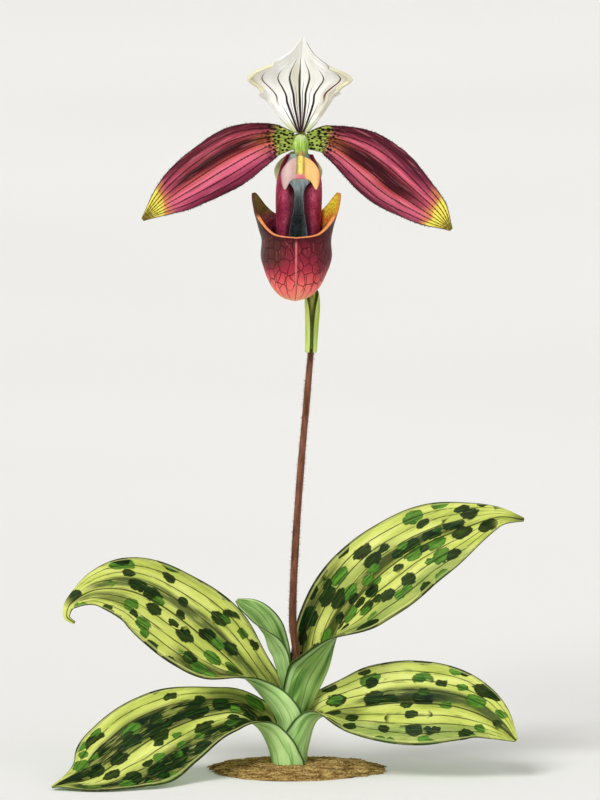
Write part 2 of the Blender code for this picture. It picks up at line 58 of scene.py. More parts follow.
SOIL_CENTRE = (1.5, 3.5)
SOIL_RADII = (25.0, 18.5)
SOIL_TOP = 3.2

STEM_TOP = Vector((1.0, 0.3, 20.0))
SCAPE_TOP = Vector((6.0, 0.5, 128.0))
HUB = Vector((2.9, 1.6, 190.8))
LIP_CENTRE = (1.6, -14.5)
LIP_TIP_Z = 145.5


# Curves and blades, as in the part's source.


def track(keys):
    """A smooth function through (position, value) keys; a value is a number or three of them."""
    places = [place for place, _ in keys]
    values = [Vector(value) if isinstance(value, tuple) else value for _, value in keys]
    last = len(keys) - 1
    slopes = []
    for i in range(len(keys)):
        before, after = max(i - 1, 0), min(i + 1, last)
        slopes.append((values[after] - values[before]) / (places[after] - places[before]))

    def value_at(place):
        i = 0
        while i < last - 1 and place > places[i + 1]:
            i += 1
        span = places[i + 1] - places[i]
        t = min(max((place - places[i]) / span, 0.0), 1.0)
        start, end = values[i], values[i + 1]
        ease = t * t * (3 - 2 * t)
        return (
            start * (1 - ease)
            + end * ease
            + slopes[i] * (span * t * (1 - t) * (1 - t))
            - slopes[i + 1] * (span * t * t * (1 - t))
        )

    return value_at


def path(points):
    """A smooth curve through the points, as a function of 0 to 1 by their distances."""
    points = [Vector(p) for p in points]
    lengths = [0.0]
    for a, b in zip(points, points[1:]):
        lengths.append(lengths[-1] + (b - a).length)
    return track([(length / lengths[-1], tuple(p)) for length, p in zip(lengths, points)])


def length_of(points):
    points = [Vector(p) for p in points]
    return sum((b - a).length for a, b in zip(points, points[1:]))


def direction(curve, s):
    step = 0.01
    return (curve(min(s + step, 1.0)) - curve(max(s - step, 0.0))).normalized()


def smooth_step(low, high, value):
    t = min(max((value - low) / (high - low), 0.0), 1.0)
    return t * t * (3 - 2 * t)


def blade_surface(form):
    """A leaf or petal: a strip along a spine, as a function of (across, along)."""
    spine = path(form["spine"])
    face = track(form["face"])
    half_width = track(form["half_width"])
    fold = track(form["fold"])
    curve = track(form["curve"])
    roll = track(form.get("roll", [(0, 0.0), (1, 0.0)]))
    roll_start = form.get("roll_start", 0.5)
    curl = track(form.get("curl", [(0, 0.0), (1, 0.0)]))
    ripple = form.get("ripple", 0.0)
    waves = form.get("waves", 3)
    steps = form.get("steps", 12)

    def place(across, along):
        ahead = direction(spine, along)
        look = face(along)
        look = (look - ahead * look.dot(ahead)).normalized()
        side = ahead.cross(look) * (1 if across >= 0 else -1)
        reach = abs(across)
        point = spine(along)
        width = half_width(along)
        for i in range(steps):
            q = reach * (i + 0.5) / steps
            angle = fold(along) + curve(along) * q
            angle -= roll(along) * smooth_step(roll_start, 1.0, q)
            angle += curl(along) * smooth_step(0.74, 0.96, q)
            angle = math.radians(angle)
            point += (side * math.cos(angle) + look * math.sin(angle)) * (width * reach / steps)
        phase = 0.9 if across >= 0 else 0.0
        wave = math.sin((along * waves + phase) * math.tau)
        point += look * (ripple * wave * reach**2 * math.sin(math.pi * along))
        return point

    return place


def push_clear(bm, inner, rounds=9, eased_rounds=5, reach=6.0):
    """Moves a sheet outwards, off the pieces that it wraps, and eases the rest of it along."""

    def shift_needed(point):
        most = Vector()
        for tree, side, room in inner:
            spot, normal, _, _ = tree.find_nearest(point, reach * MM)
            if spot is None:
                continue
            outward = normal * side
            depth = (point - spot).dot(outward)
            slip = (point - spot - outward * depth).length
            if slip < room * MM:
                short = math.sqrt((room * MM) ** 2 - slip**2) - depth
                if short > most.length:
                    most = outward * short
        return most

    for turn in range(rounds):
        needed = {vertex: shift_needed(vertex.co) for vertex in bm.verts}
        for edge in bm.edges:
            shift = shift_needed((edge.verts[0].co + edge.verts[1].co) / 2)
            for vertex in edge.verts:
                if shift.length > needed[vertex].length:
                    needed[vertex] = shift
        eased = dict(needed)
        for _ in range(3 if turn < eased_rounds else 0):
            eased = {
                vertex: sum((eased[e.other_vert(vertex)] for e in vertex.link_edges), eased[vertex] * 2)
                / (len(vertex.link_edges) + 2)
                for vertex in bm.verts
            }
        for vertex in bm.verts:
            vertex.co += max(needed[vertex], eased[vertex], key=lambda shift: shift.length)


def nested(surface, columns, rows, crowd, inner):
    """Fits a blade round the pieces inside it on a coarse net, the same as in the solids.

    Gives back the fitted surface, whose shifts are spread smoothly over the net, and the net's tree.
    """
    bm = bmesh.new()
    bmesh.ops.create_grid(bm, x_segments=columns, y_segments=rows, size=1.0)
    knots = {}
    for vertex in bm.verts:
        across, step = vertex.co.x, (vertex.co.y + 1) / 2
        knots[vertex] = (round((across + 1) / 2 * columns), round(step * rows))
        vertex.co = surface(across, step**crowd) * MM
    bmesh.ops.triangulate(bm, faces=bm.faces, quad_method="FIXED")
    bm.normal_update()
    start = {vertex: vertex.co.copy() for vertex in bm.verts}
    push_clear(bm, inner)
    shifts = {knots[vertex]: (vertex.co - start[vertex]) / MM for vertex in bm.verts}
    tree = BVHTree.FromBMesh(bm)
    bm.free()

    def weights(t):
        return (
            (-t + 2 * t * t - t**3) / 2,
            (2 - 5 * t * t + 3 * t**3) / 2,
            (t + 4 * t * t - 3 * t**3) / 2,
            (t**3 - t * t) / 2,
        )

    def shift(across, step):
        u, v = (across + 1) / 2 * columns, step * rows
        i, j = min(int(u), columns - 1), min(int(v), rows - 1)
        total = Vector()
        for a, wide in enumerate(weights(u - i)):
            for b, high in enumerate(weights(v - j)):
                knot = (min(max(i + a - 1, 0), columns), min(max(j + b - 1, 0), rows))
                total += shifts[knot] * (wide * high)
        return total

    return lambda across, along: surface(across, along) + shift(across, along ** (1 / crowd)), tree


def above_floor(z, floor):
    """Bends what would go below the floor level so that it lies along it."""
    soft = 1.5
    if z > floor + soft:
        return z
    return floor + soft * math.exp((z - floor - soft) / soft)


LOWER_LEFT_LEAF = {
    "spine": [
        (-5.15, 0, 1.5), (-6.6, -0.3, 8), (-10.5, -2, 15), (-18, -6, 19.4), (-35, -13, 16), (-50, -20, 8),
        (-59, -26, 3), (-71, -31, 1.2),
    ],
    "face": [
        (0, (1, 0, 0.2)), (0.08, (1, 0, 0.35)), (0.18, (0.75, -0.15, 0.7)), (0.3, (0.25, -0.6, 0.75)),
        (0.5, (0.1, -0.8, 0.6)), (0.7, (-0.05, -0.65, 0.75)), (0.86, (0, -0.4, 0.9)), (1, (0, -0.15, 1)),
    ],
    "half_width": [
        (0, 12.5), (0.08, 10.5), (0.2, 8.6), (0.32, 9.2), (0.5, 13.5), (0.68, 15.8), (0.84, 11), (0.94, 5),
        (1, 0.6),
    ],
    "fold": [(0, 0), (0.18, 12), (0.3, 12), (0.8, 8), (1, 4)],
    "curve": [(0, 139), (0.08, 112), (0.18, 60), (0.3, 5), (0.5, -20), (1, -8)],
    "ripple": 0.5,
    "crowd": 1.25,
    "floor": 0.5,
}

LOWER_RIGHT_LEAF = {
    "spine": [
        (4.05, 0, 2.2), (5.2, 0, 9), (8, 0, 16.6), (16, -2.2, 19.8), (38, -8, 22.6), (56, -11, 19.9),
        (67.4, -14, 12.4),
    ],
    "face": [
        (0, (-1, 0, 0.15)), (0.09, (-1, 0, 0.2)), (0.2, (-0.7, -0.2, 0.65)), (0.33, (-0.25, -0.7, 0.65)),
        (0.55, (-0.15, -0.85, 0.5)), (0.8, (0.05, -0.8, 0.6)), (1, (0.25, -0.7, 0.65)),
    ],
    "half_width": [
        (0, 9.5), (0.09, 9.5), (0.2, 7.6), (0.4, 12.2), (0.6, 13.6), (0.78, 11.1), (0.9, 6.6), (0.96, 3.2),
        (1, 0.6),
    ],
    "fold": [(0, 0), (0.2, 25), (0.33, 14), (0.6, 10), (1, 8)],
    "curve": [(0, 134), (0.09, 118), (0.2, 50), (0.33, 5), (0.5, -16), (1, -12)],
    "ripple": 0.5,
    "crowd": 1.25,
}

UPPER_LEFT_LEAF = {
    "spine": [
        (-3.0, 0, 10), (-4.4, 0, 17), (-13.6, 1, 29), (-30.7, 1, 44.8), (-46, -1, 54.8), (-58, -2.5, 56),
        (-66, -4, 52.2), (-67.2, -4.6, 48.2), (-64.8, -5, 46.2),
    ],
    "face": [
        (0, (1, 0, 0.15)), (0.07, (1, 0, 0.35)), (0.21, (0.7, -0.4, 0.6)), (0.35, (0.35, -0.85, 0.45)),
        (0.6, (0.25, -0.85, 0.45)), (0.8, (-0.05, -0.8, 0.65)), (0.93, (-0.8, -0.6, 0.2)),
        (1, (-0.5, -0.65, -0.6)),
    ],
    "half_width": [
        (0, 6.8), (0.07, 8), (0.21, 9), (0.4, 13.7), (0.6, 13.4), (0.75, 10.2), (0.86, 4.8), (0.94, 2.2),
        (1, 0.6),
    ],
    "fold": [(0, 0), (0.07, 30), (0.21, 30), (0.35, 14), (0.6, 10), (1, 10)],
    "curve": [(0, 130), (0.07, 90), (0.21, 40), (0.35, 5), (0.5, -14), (1, -14)],
    "ripple": 0.5,
    "crowd": 1.25,
}

UPPER_RIGHT_LEAF = {
    "spine": [
        (2.6, 0.2, 14.5), (5.5, 0.4, 20), (10.4, 0.5, 30.5), (13.8, 0, 43), (21.8, -1, 55.4),
        (35, -2, 66.7), (47.4, -3, 73.1), (61.6, -5, 78.2), (69.6, -6, 77.8),
    ],
    "face": [
        (0, (-1, 0, 0.3)), (0.06, (-1, 0, 0.4)), (0.15, (-1, 0, 0.38)), (0.3, (-0.85, -0.45, 0.3)),
        (0.43, (-0.5, -0.8, 0.4)), (0.65, (-0.2, -0.85, 0.42)), (0.85, (-0.15, -0.8, 0.6)),
        (1, (0.1, -0.6, 0.8)),
    ],
    "half_width": [
        (0, 6.0), (0.06, 9.5), (0.15, 11.6), (0.3, 14), (0.5, 14.5), (0.65, 13), (0.76, 11), (0.87, 6.5),
        (0.95, 2.6), (1, 0.6),
    ],
    "fold": [(0, 0), (0.06, 35), (0.15, 48), (0.3, 22), (0.43, 10), (1, 9)],
    "curve": [(0, 132), (0.06, 90), (0.15, 62), (0.3, 30), (0.43, 0), (0.6, -14), (1, -14)],
    "ripple": 0.5,
    "crowd": 1.25,
}

INNER_LEAF = {
    "spine": [
        (-0.9, 0.3, 20.6), (-2.5, 0.6, 26), (-4.2, 1.0, 33.4), (-7, 1.5, 40.2), (-10.4, 1.8, 46.7),
        (-16.2, 1.5, 52.3),
    ],
    "face": [(0, (1, 0, 0.2)), (0.5, (0.9, -0.2, 0.45)), (0.75, (0.6, -0.7, 0.4)), (1, (0.4, -0.8, 0.5))],
    "half_width": [(0, 4.4), (0.3, 4.4), (0.6, 6.4), (0.8, 5), (0.92, 3), (1, 0.5)],
    "fold": [(0, 0), (0.2, 55), (0.6, 40), (1, 20)],
    "curve": [(0, 125), (0.2, 45), (0.6, 20), (1, 0)],
}

DORSAL_SEPAL = {
    "spine": [(2.9, 1.6, 193.3), (2.8, 3.6, 198.5), (2.6, 4.6, 206), (2.8, 3.2, 214), (3.6, 0.4, 222.2)],
    "face": [(0, (0, -1, 0.25)), (1, (0.05, -1, -0.15))],
    "half_width": [
        (0, 2.2), (0.12, 6.2), (0.3, 11.4), (0.38, 12.2), (0.46, 15.6), (0.52, 18.6), (0.57, 19.6),
        (0.64, 17.2), (0.7, 12.4), (0.76, 7.8), (0.84, 4.2), (0.92, 2.2), (1, 0.4),
    ],
    "fold": [(0, 12), (0.5, 8), (1, 22)],
    "curve": [(0, 10), (0.5, -8), (1, 30)],
    "roll": [(0, 30), (0.15, 100), (0.3, 100), (0.4, 30), (0.5, 0), (0.7, 0), (1, 0)],
    "roll_start": 0.55,
    "curl": [(0, 0), (0.35, 0), (0.43, 150), (0.5, 230), (0.62, 240), (0.7, 150), (0.76, 0), (1, 0)],
    "steps": 24,
}

PETAL_BEND = {
    "fold": [(0, 12), (0.5, 4), (1, 14)],
    "curve": [(0, 10), (0.5, -24), (1, 6)],
    "ripple": 1.1,
    "waves": 1.6,
}

LEFT_PETAL = {
    "spine": [
        (0.9, 0.6, 191), (-6, -0.2, 191), (-16, -1.2, 187.2), (-27.6, -2.2, 180.2), (-37, -3.4, 173.7),
        (-44.2, -4.6, 167.9),
    ],
    "face": [(0, (0.2, -1, 0)), (0.4, (0, -1, 0.25)), (0.7, (0.05, -1, 0.15)), (1, (0, -1, 0.25))],
    "half_width": [
        (0, 2.6), (0.15, 5.8), (0.35, 8.6), (0.55, 8.2), (0.75, 6.3), (0.88, 3.6), (0.95, 1.8), (1, 0.5),
    ],
    **PETAL_BEND,
}

RIGHT_PETAL = {
    "spine": [
        (5.0, 0.6, 191), (11.2, -0.2, 191.2), (21, -1.2, 186.6), (32, -2.2, 178), (42.2, -3.4, 170.1),
        (47.8, -4.6, 164.9),
    ],
    "face": [(0, (-0.2, -1, 0)), (0.4, (0, -1, 0.15)), (0.7, (-0.05, -1, 0.05)), (1, (0, -1, 0.25))],
    "half_width": [
        (0, 2.6), (0.15, 5.2), (0.35, 8.4), (0.55, 9), (0.75, 6.7), (0.88, 4.5), (0.95, 2.2), (1, 0.5),
    ],
    **PETAL_BEND,
}

LOWER_SEPAL = {
    "spine": [(2.4, 1.5, 187.6), (2.2, 2.1, 182), (2.1, 1.4, 172), (1.9, -0.6, 161)],
    "face": [(0, (0, -1, 0.1)), (1, (0, -1, -0.1))],
    "half_width": [(0, 2.4), (0.1, 5.8), (0.2, 7.3), (0.32, 6.8), (0.5, 5.4), (0.8, 3.6), (1, 0.6)],
    "fold": [(0, 6), (1, 14)],
    "curve": [(0, 10), (1, 10)],
}

BRACT = {
    "spine": [(6.05, 2.4, 127.2), (6.2, 2.9, 133), (6.4, 4.0, 140), (6.3, 5.4, 146.3)],
    "face": [(0, (0, -1, 0.1)), (1, (0, -1, 0.1))],
    "half_width": [(0, 4.4), (0.4, 5.6), (0.75, 5.6), (0.92, 3.0), (1, 0.5)],
    "fold": [(0, 0), (1, 0)],
    "curve": [(0, 174), (0.5, 168), (0.8, 140), (1, 60)],
}


# Materials.


def tint(colour):
    """A colour as it looks on screen, 0 to 255, as the linear colour that a shader takes."""
    linear = [
        (c / 255) / 12.92 if c / 255 <= 0.04045 else ((c / 255 + 0.055) / 1.055) ** 2.4 for c in colour
    ]
    return (*linear, 1.0)


class Finish:
    """A material in the making. Its methods add nodes and give back their outputs.

    colour is what has been painted so far; over and grain paint on it, and done hands it in.
    """

    def __init__(self, name, roughness, coat=0.0, sheen=0.0):
        self.material = bpy.data.materials.new(name)
        self.material.use_nodes = True
        self.tree = self.material.node_tree
        self.shader = self.tree.nodes["Principled BSDF"]
        self.shader.inputs["Roughness"].default_value = roughness
        self.shader.inputs["Coat Weight"].default_value = coat
        self.shader.inputs["Coat Roughness"].default_value = 0.35
        self.shader.inputs["Sheen Weight"].default_value = sheen
        self.shader.inputs["Specular IOR Level"].default_value = 0.08

    def put(self, socket, value):
        if isinstance(value, bpy.types.NodeSocket):
            self.tree.links.new(value, socket)
        elif isinstance(value, tuple) and len(value) == 3 and socket.type == "RGBA":
            socket.default_value = tint(value)
        else:
            socket.default_value = value

    def node(self, kind, **settings):
        node = self.tree.nodes.new("ShaderNode" + kind)
        for key, value in settings.items():
            setattr(node, key, value)
        return node

    def calc(self, operation, *values):
        node = self.node("Math", operation=operation)
        for socket, value in zip(node.inputs, values):
            self.put(socket, value)
        return node.outputs[0]

    def add(self, value, other):
        return self.calc("ADD", value, other)

    def less(self, value, other):
        return self.calc("SUBTRACT", value, other)

    def most(self, value, other):
        return self.calc("MAXIMUM", value, other)

    def scaled(self, value, factor, plus):
        return self.calc("MULTIPLY_ADD", value, factor, plus)

    def off(self, value, centre=None):
        """How far a value is from a centre, or from 0."""
        return self.calc("ABSOLUTE", value if centre is None else self.less(value, centre))

    def times(self, *values):
        total = values[0]
        for value in values[1:]:
            total = self.calc("MULTIPLY", total, value)
        return total

    def rise(self, value, low, high):
        """0 at low, 1 at high and smooth between. A low above high makes it fall instead."""
        node = self.node("MapRange", interpolation_type="SMOOTHSTEP")
        for name, given in (("Value", value), ("From Min", low), ("From Max", high)):
            self.put(node.inputs[name], given)
        return node.outputs[0]

    def window(self, value, low, start, end, high):
        return self.times(self.rise(value, low, start), self.rise(value, high, end))

    def mix(self, share, under, over, blend="MIX"):
        node = self.node("Mix", data_type="RGBA", blend_type=blend)
        for socket, value in zip((node.inputs[0], node.inputs[6], node.inputs[7]), (share, under, over)):
            self.put(socket, value)
        return node.outputs[2]

    def over(self, shade, *shares):
        """Lays a shade over the colour, by the product of the shares."""
        self.colour = self.mix(self.times(*shares), self.colour, shade)

    def grain(self, share, fine, dark, light):
        """Works a fine grain into the colour."""
        self.colour = self.mix(share, self.colour, self.mix(fine, dark, light), blend="SOFT_LIGHT")

    def lines(self, value, wide, narrow):
        """A line at the middle of each whole step of the value."""
        return self.rise(self.off(self.calc("FRACT", value), 0.5), wide, narrow)

    def shades(self, value, stops):
        """Colours along a value, as (position, colour) stops."""
        node = self.node("ValToRGB")
        ramp = node.color_ramp
        while len(ramp.elements) < len(stops):
            ramp.elements.new(1.0)
        for element, (position, colour) in zip(ramp.elements, stops):
            element.position = position
            element.color = tint(colour)
        self.put(node.inputs[0], value)
        return node.outputs[0]

    def parts(self, vector):
        node = self.node("SeparateXYZ")
        self.put(node.inputs[0], vector)
        return node.outputs[:3]

    def move(self, operation, vector, other):
        """Changes a vector by another one, or by one number in all three directions."""
        node = self.node("VectorMath", operation=operation)
        self.put(node.inputs[0], vector)
        self.put(node.inputs[1], (other,) * 3 if isinstance(other, (int, float)) else other)
        return node.outputs[0]

    def map(self, name):
        return self.node("UVMap", uv_map=name).outputs[0]

    def on_piece(self):
        """The piece's own coordinates, in millimetres."""
        return self.move("MULTIPLY", self.node("TexCoord").outputs["Object"], 1000)

    def on_blade(self):
        """across, -1 to 1, along, 0 to 1, and the same two as millimetres in one vector."""
        u, along, _ = self.parts(self.map("place"))
        return self.scaled(u, 2.0, -1.0), along, self.map("size")

    def texture(self, kind, where, size, given, **settings):
        """A texture whose forms have a size, as one number or as three; given are its own inputs."""
        node = self.node("Tex" + kind, **settings)
        self.put(node.inputs["Vector"], self.move("DIVIDE", where, size))
        for key, value in {"Scale": 1.0, **given}.items():
            node.inputs[key].default_value = value
        return node

    def clouds(self, where, size, detail=3.0, rough=0.5):
        """Soft noise, 0 to 1."""
        return self.texture("Noise", where, size, {"Detail": detail, "Roughness": rough}).outputs[0]

    def cells(self, where, size, feature="F1", spread=0.9):
        """Cells of a size: the node, with outputs Distance and Color."""
        given = {"Randomness": spread}
        return self.texture("Voronoi", where, size, given, voronoi_dimensions="2D", feature=feature)

    def dots(self, where, size):
        """Small dots, one to a cell of the size."""
        return self.rise(self.cells(where, size).outputs["Distance"], 0.3, 0.2)

    def wander(self, where, size, amount):
        """The same place, shifted unevenly."""
        shift = self.move("SUBTRACT", self.texture("Noise", where, size, {}).outputs["Color"], 0.5)
        return self.move("ADD", where, self.move("MULTIPLY", shift, amount))

    def done(self, height=None, depth=0.1):
        """Hands in the colour and, from a height of 0 to 1 and a depth in millimetres, the relief."""
        self.put(self.shader.inputs["Base Color"], self.colour)
        if height is not None:
            bump = self.node("Bump")
            bump.inputs["Strength"].default_value = 1.0
            bump.inputs["Distance"].default_value = depth * MM
            self.put(bump.inputs["Height"], height)
            self.put(self.shader.inputs["Normal"], bump.outputs[0])
        return self.material


def mottled_leaf(name, seed, cover, bands):
    """Yellow-green with dark oval blotches in rows along the leaf and thin dark veins.

    cover is the share of cells that hold a blotch. Each band of shade has its middle and half width
    across the leaf, its first and last place along it, its strength and its colour.
    """
    leaf = Finish(name, 0.5, coat=0.01)
    across, along, size = leaf.on_blade()
    reach = leaf.off(across)
    here = leaf.move("ADD", size, (seed, seed * 2.3, seed))
    hatch = leaf.clouds(here, (0.42, 6.0, 1.0), detail=2.0, rough=0.6)
    ground = [(0.3, (164, 178, 80)), (0.48, (196, 206, 102)), (0.7, (220, 226, 132))]
    leaf.colour = leaf.shades(leaf.clouds(here, (4, 18, 5)), ground)
    # Bands of painted shade, broken into hatched streaks.
    bent = leaf.scaled(leaf.clouds(here, (11, 22, 9), detail=1.0), 0.3, leaf.less(across, 0.15))
    shade_hatching = leaf.scaled(hatch, 0.5, leaf.times(leaf.clouds(here, (2.0, 9, 3), detail=2.0), 0.5))
    shade_hatching = leaf.rise(shade_hatching, 0.38, 0.52)
    dark = 0.0
    for centre, half, first, last, strength, shade in bands:
        run = leaf.window(along, first, first + 0.09, last - 0.09, last)
        band = leaf.times(leaf.rise(leaf.off(bent, centre), half, half * 0.45), run)
        leaf.over(shade, band, leaf.scaled(shade_hatching, 0.4, 0.6), strength)
        if shade == DARK_SHADE:
            dark = leaf.most(band, dark)
    # Blotches, larger and smaller, which crowd in the dark bands.
    patchy = leaf.scaled(leaf.clouds(here, (12, 16, 9), detail=1.0), 0.8, cover - 0.4)
    patchy = leaf.scaled(dark, 0.35, patchy)
    bent = leaf.wander(here, 2.4, 1.5)
    ragged = leaf.times(leaf.clouds(here, (1.1, 1.8, 1.0), detail=2.0), 0.16)
    ragged = leaf.scaled(hatch, 0.14, ragged)
    deep = leaf.mix(leaf.rise(hatch, 0.42, 0.62), (5, 20, 3), (26, 64, 14))
    light = leaf.mix(leaf.rise(hatch, 0.4, 0.6), (44, 92, 24), (92, 144, 46))
    for order, (cell_size, radius) in enumerate((((5.6, 8.4, 1.0), 0.33), ((3.9, 5.8, 1.0), 0.29))):
        cell = leaf.cells(leaf.move("ADD", bent, (31.0 * order, 17.0 * order, 0.0)), cell_size, spread=0.8)
        chance, kind, tone = leaf.parts(cell.outputs["Color"])
        held = leaf.rise(leaf.less(leaf.times(patchy, 1.0 - 0.2 * order), chance), 0.0, 0.04)
        grown = leaf.scaled(kind, 0.1, leaf.add(ragged, radius - 0.15))
        inside = leaf.less(grown, cell.outputs["Distance"])
        blotch = leaf.times(leaf.rise(inside, -0.02, 0.035), held, leaf.rise(along, 0.95, 0.9))
        green = leaf.mix(leaf.rise(tone, 0.66, 0.72), deep, light)
        green = leaf.mix(leaf.times(leaf.rise(inside, 0.09, 0.0), 0.6), green, (10, 28, 6))
        leaf.over(green, blotch, 0.97)
    # Veins along the leaf, the midrib and the margin.
    lane = leaf.scaled(leaf.clouds(here, 14.0, detail=1.0), 0.3, leaf.times(reach, LEAF_VEINS))
    off_line = leaf.off(leaf.calc("FRACT", lane), 0.5)
    vein = leaf.times(leaf.rise(off_line, 0.08, 0.03), leaf.rise(reach, 0.08, 0.14))
    vein = leaf.times(vein, leaf.rise(hatch, 0.3, 0.45))
    leaf.over((48, 54, 24), vein, 0.85)
    leaf.over((42, 48, 22), leaf.rise(leaf.off(leaf.parts(size)[0]), 0.5, 0.2), 0.9)
    strokes = leaf.times(leaf.rise(hatch, 0.53, 0.66), leaf.rise(off_line, 0.4, 0.1))
    leaf.over((78, 90, 38), strokes, 0.6)
    # A pale strip of painted highlight just inside the margin.
    leaf.over((230, 234, 150), leaf.window(reach, 0.9, 0.925, 0.945, 0.96), 0.45)
    leaf.over((48, 56, 26), leaf.rise(reach, 0.96, 0.98), 0.85)
    fine = leaf.clouds(leaf.on_piece(), 0.35, detail=2.0)
    leaf.grain(0.25, fine, (40, 40, 20), (255, 255, 210))
    return leaf.done(leaf.less(leaf.times(fine, 0.35), vein), 0.12)


def plain_leaf(name, light, middle, dark, seed):
    """The smooth outer side of a leaf: plain green, with broad pale streaks of painted highlight, a strip of
    painted highlight inside the margin, and a dark margin.
    """
    leaf = Finish(name, 0.5, coat=0.01)
    across, _, size = leaf.on_blade()
    here = leaf.move("ADD", size, seed)
    streak = leaf.clouds(here, (0.9, 22, 4), detail=3.0)
    cloud = leaf.clouds(here, (5, 16, 6), detail=1.0)
    level = leaf.scaled(streak, 0.5, leaf.times(cloud, 0.5))
    leaf.colour = leaf.shades(level, [(0.36, dark), (0.5, middle), (0.64, light)])
    bent = leaf.scaled(cloud, 0.5, leaf.less(across, 0.25))
    # Two broad pale streaks of painted highlight.
    for centre in (-0.5, 0.35):
        leaf.over(light, leaf.rise(leaf.off(bent, centre), 0.22, 0.02), 0.55)
    reach = leaf.off(across)
    vein = leaf.lines(leaf.scaled(cloud, 0.3, leaf.times(reach, 3.4)), 0.06, 0.02)
    leaf.over(dark, vein, 0.5)
    # A strip of painted highlight just inside the margin.
    leaf.over((196, 220, 158), leaf.window(reach, 0.8, 0.84, 0.9, 0.93), 0.5)
    # A dark line along the margin; where the bract's two margins meet at its front it is also painted shade
    # in the gap between them.
    leaf.over((44, 62, 28), leaf.rise(reach, 0.93, 0.96), 0.85)
    return leaf.done(leaf.less(leaf.times(streak, 0.6), vein), 0.1)


def plain_green(name, dark, light):
    """A smooth green with faint streaks up the piece."""
    plain = Finish(name, 0.5)
    streak = plain.clouds(plain.on_piece(), (0.8, 0.8, 9.0))
    plain.colour = plain.shades(streak, [(0.3, dark), (0.7, light)])
    return plain.done(streak, 0.1)


def stalk_finish(name, dark, light, size):
    """A matt hairy stalk, mottled along its length."""
    stalk = Finish(name, 0.6, sheen=0.08)
    where = stalk.on_piece()
    mottle = stalk.clouds(where, (size, size, size * 5))
    fine = stalk.clouds(where, 0.25, detail=2.0)
    level = stalk.scaled(fine, 0.35, stalk.times(mottle, 0.65))
    stalk.colour = stalk.shades(level, [(0.35, dark), (0.65, light)])
    return stalk.done(fine, 0.08)


def striped_sepal():
    """White, with stripes that start dark purple, turn green and run out as they fan upwards."""
    sepal = Finish("sepal white with stripes", 0.5, sheen=0.1)
    across, along, size = sepal.on_blade()
    here = sepal.wander(size, 5.0, 0.5)
    whites = [(0.3, (240, 239, 230)), (0.6, (252, 251, 246))]
    sepal.colour = sepal.shades(sepal.clouds(size, (3, 14, 3), detail=2.0), whites)
    # Painted grey-cream shade by the middle stripe and painted shadow of the rolled-back margin along the
    # right side, and green at the very base.
    middle = sepal.times(
        sepal.window(across, -0.17, -0.1, -0.03, 0.0), sepal.window(along, 0.2, 0.32, 0.6, 0.8)
    )
    right = sepal.times(
        sepal.window(across, 0.42, 0.6, 0.9, 1.0), sepal.window(along, 0.12, 0.2, 0.42, 0.55)
    )
    sepal.over((196, 188, 150), sepal.most(middle, right), 0.5)
    sepal.over((190, 205, 130), sepal.rise(along, 0.16, 0.0), 0.8)
    # Each stripe's place across, its width, its end along the sepal and where it starts.
    stripes = [
        (0.0, 0.060, 0.99, 0.0), (-0.16, 0.056, 0.86, 0.0), (0.15, 0.056, 0.82, 0.0),
        (-0.34, 0.056, 0.70, 0.0), (0.36, 0.056, 0.72, 0.0), (-0.58, 0.070, 0.66, 0.34),
        (0.62, 0.084, 0.68, 0.34), (-0.08, 0.036, 0.50, 0.0), (0.07, 0.036, 0.56, 0.0),
        (-0.24, 0.036, 0.44, 0.0), (0.24, 0.036, 0.50, 0.0), (-0.50, 0.024, 0.30, 0.0),
        (0.50, 0.024, 0.32, 0.0),
    ]
    sway = sepal.scaled(sepal.clouds(size, 9.0, detail=1.0), 0.04, -0.02)
    bent = sepal.add(across, sway)
    total = 0.0
    for centre, width, end, start in stripes:
        thin = sepal.most(sepal.scaled(along, -width / end, width), 0.0005)
        line = sepal.rise(sepal.off(bent, centre), thin, sepal.times(thin, 0.45))
        line = sepal.times(line, sepal.rise(along, end, end * 0.88))
        if start:
            line = sepal.times(line, sepal.rise(along, start * 0.7, start * 1.15))
        total = sepal.most(line, total)
    inks = [(0.0, (52, 22, 32)), (0.36, (44, 20, 26)), (0.52, (66, 60, 30)), (0.8, (118, 128, 62))]
    outer = sepal.rise(sepal.off(across), 0.52, 0.58)
    stripe = sepal.mix(outer, sepal.shades(along, inks), (96, 26, 38))
    sepal.over(stripe, total)
    margin = sepal.times(sepal.rise(across, 0.955, 0.985), sepal.window(along, 0.5, 0.6, 0.93, 0.98))
    sepal.over((70, 58, 44), margin, 0.8)
    ridge = sepal.add(total, sepal.times(sepal.clouds(here, (0.8, 6, 0.8)), 0.5))
    return sepal.done(ridge, 0.08)


def sepal_back():
    """The cream outer side of the upper sepal, with the stripes faint through it."""
    sepal = Finish("sepal cream back", 0.55, sheen=0.15)
    across, along, size = sepal.on_blade()
    creams = [(0.3, (214, 206, 168)), (0.7, (240, 234, 204))]
    sepal.colour = sepal.shades(sepal.clouds(size, (2, 12, 2)), creams)
    keel = sepal.times(sepal.rise(sepal.off(across), 0.12, 0.02), sepal.rise(along, 0.9, 0.3))
    sepal.over((128, 150, 76), keel, 0.5)
    line = sepal.lines(sepal.scaled(across, 5.2, 0.5), 0.1, 0.03)
    line = sepal.times(line, sepal.rise(along, 0.7, 0.2), 0.4)
    sepal.over((130, 120, 80), line)
    return sepal.done(line, 0.08)


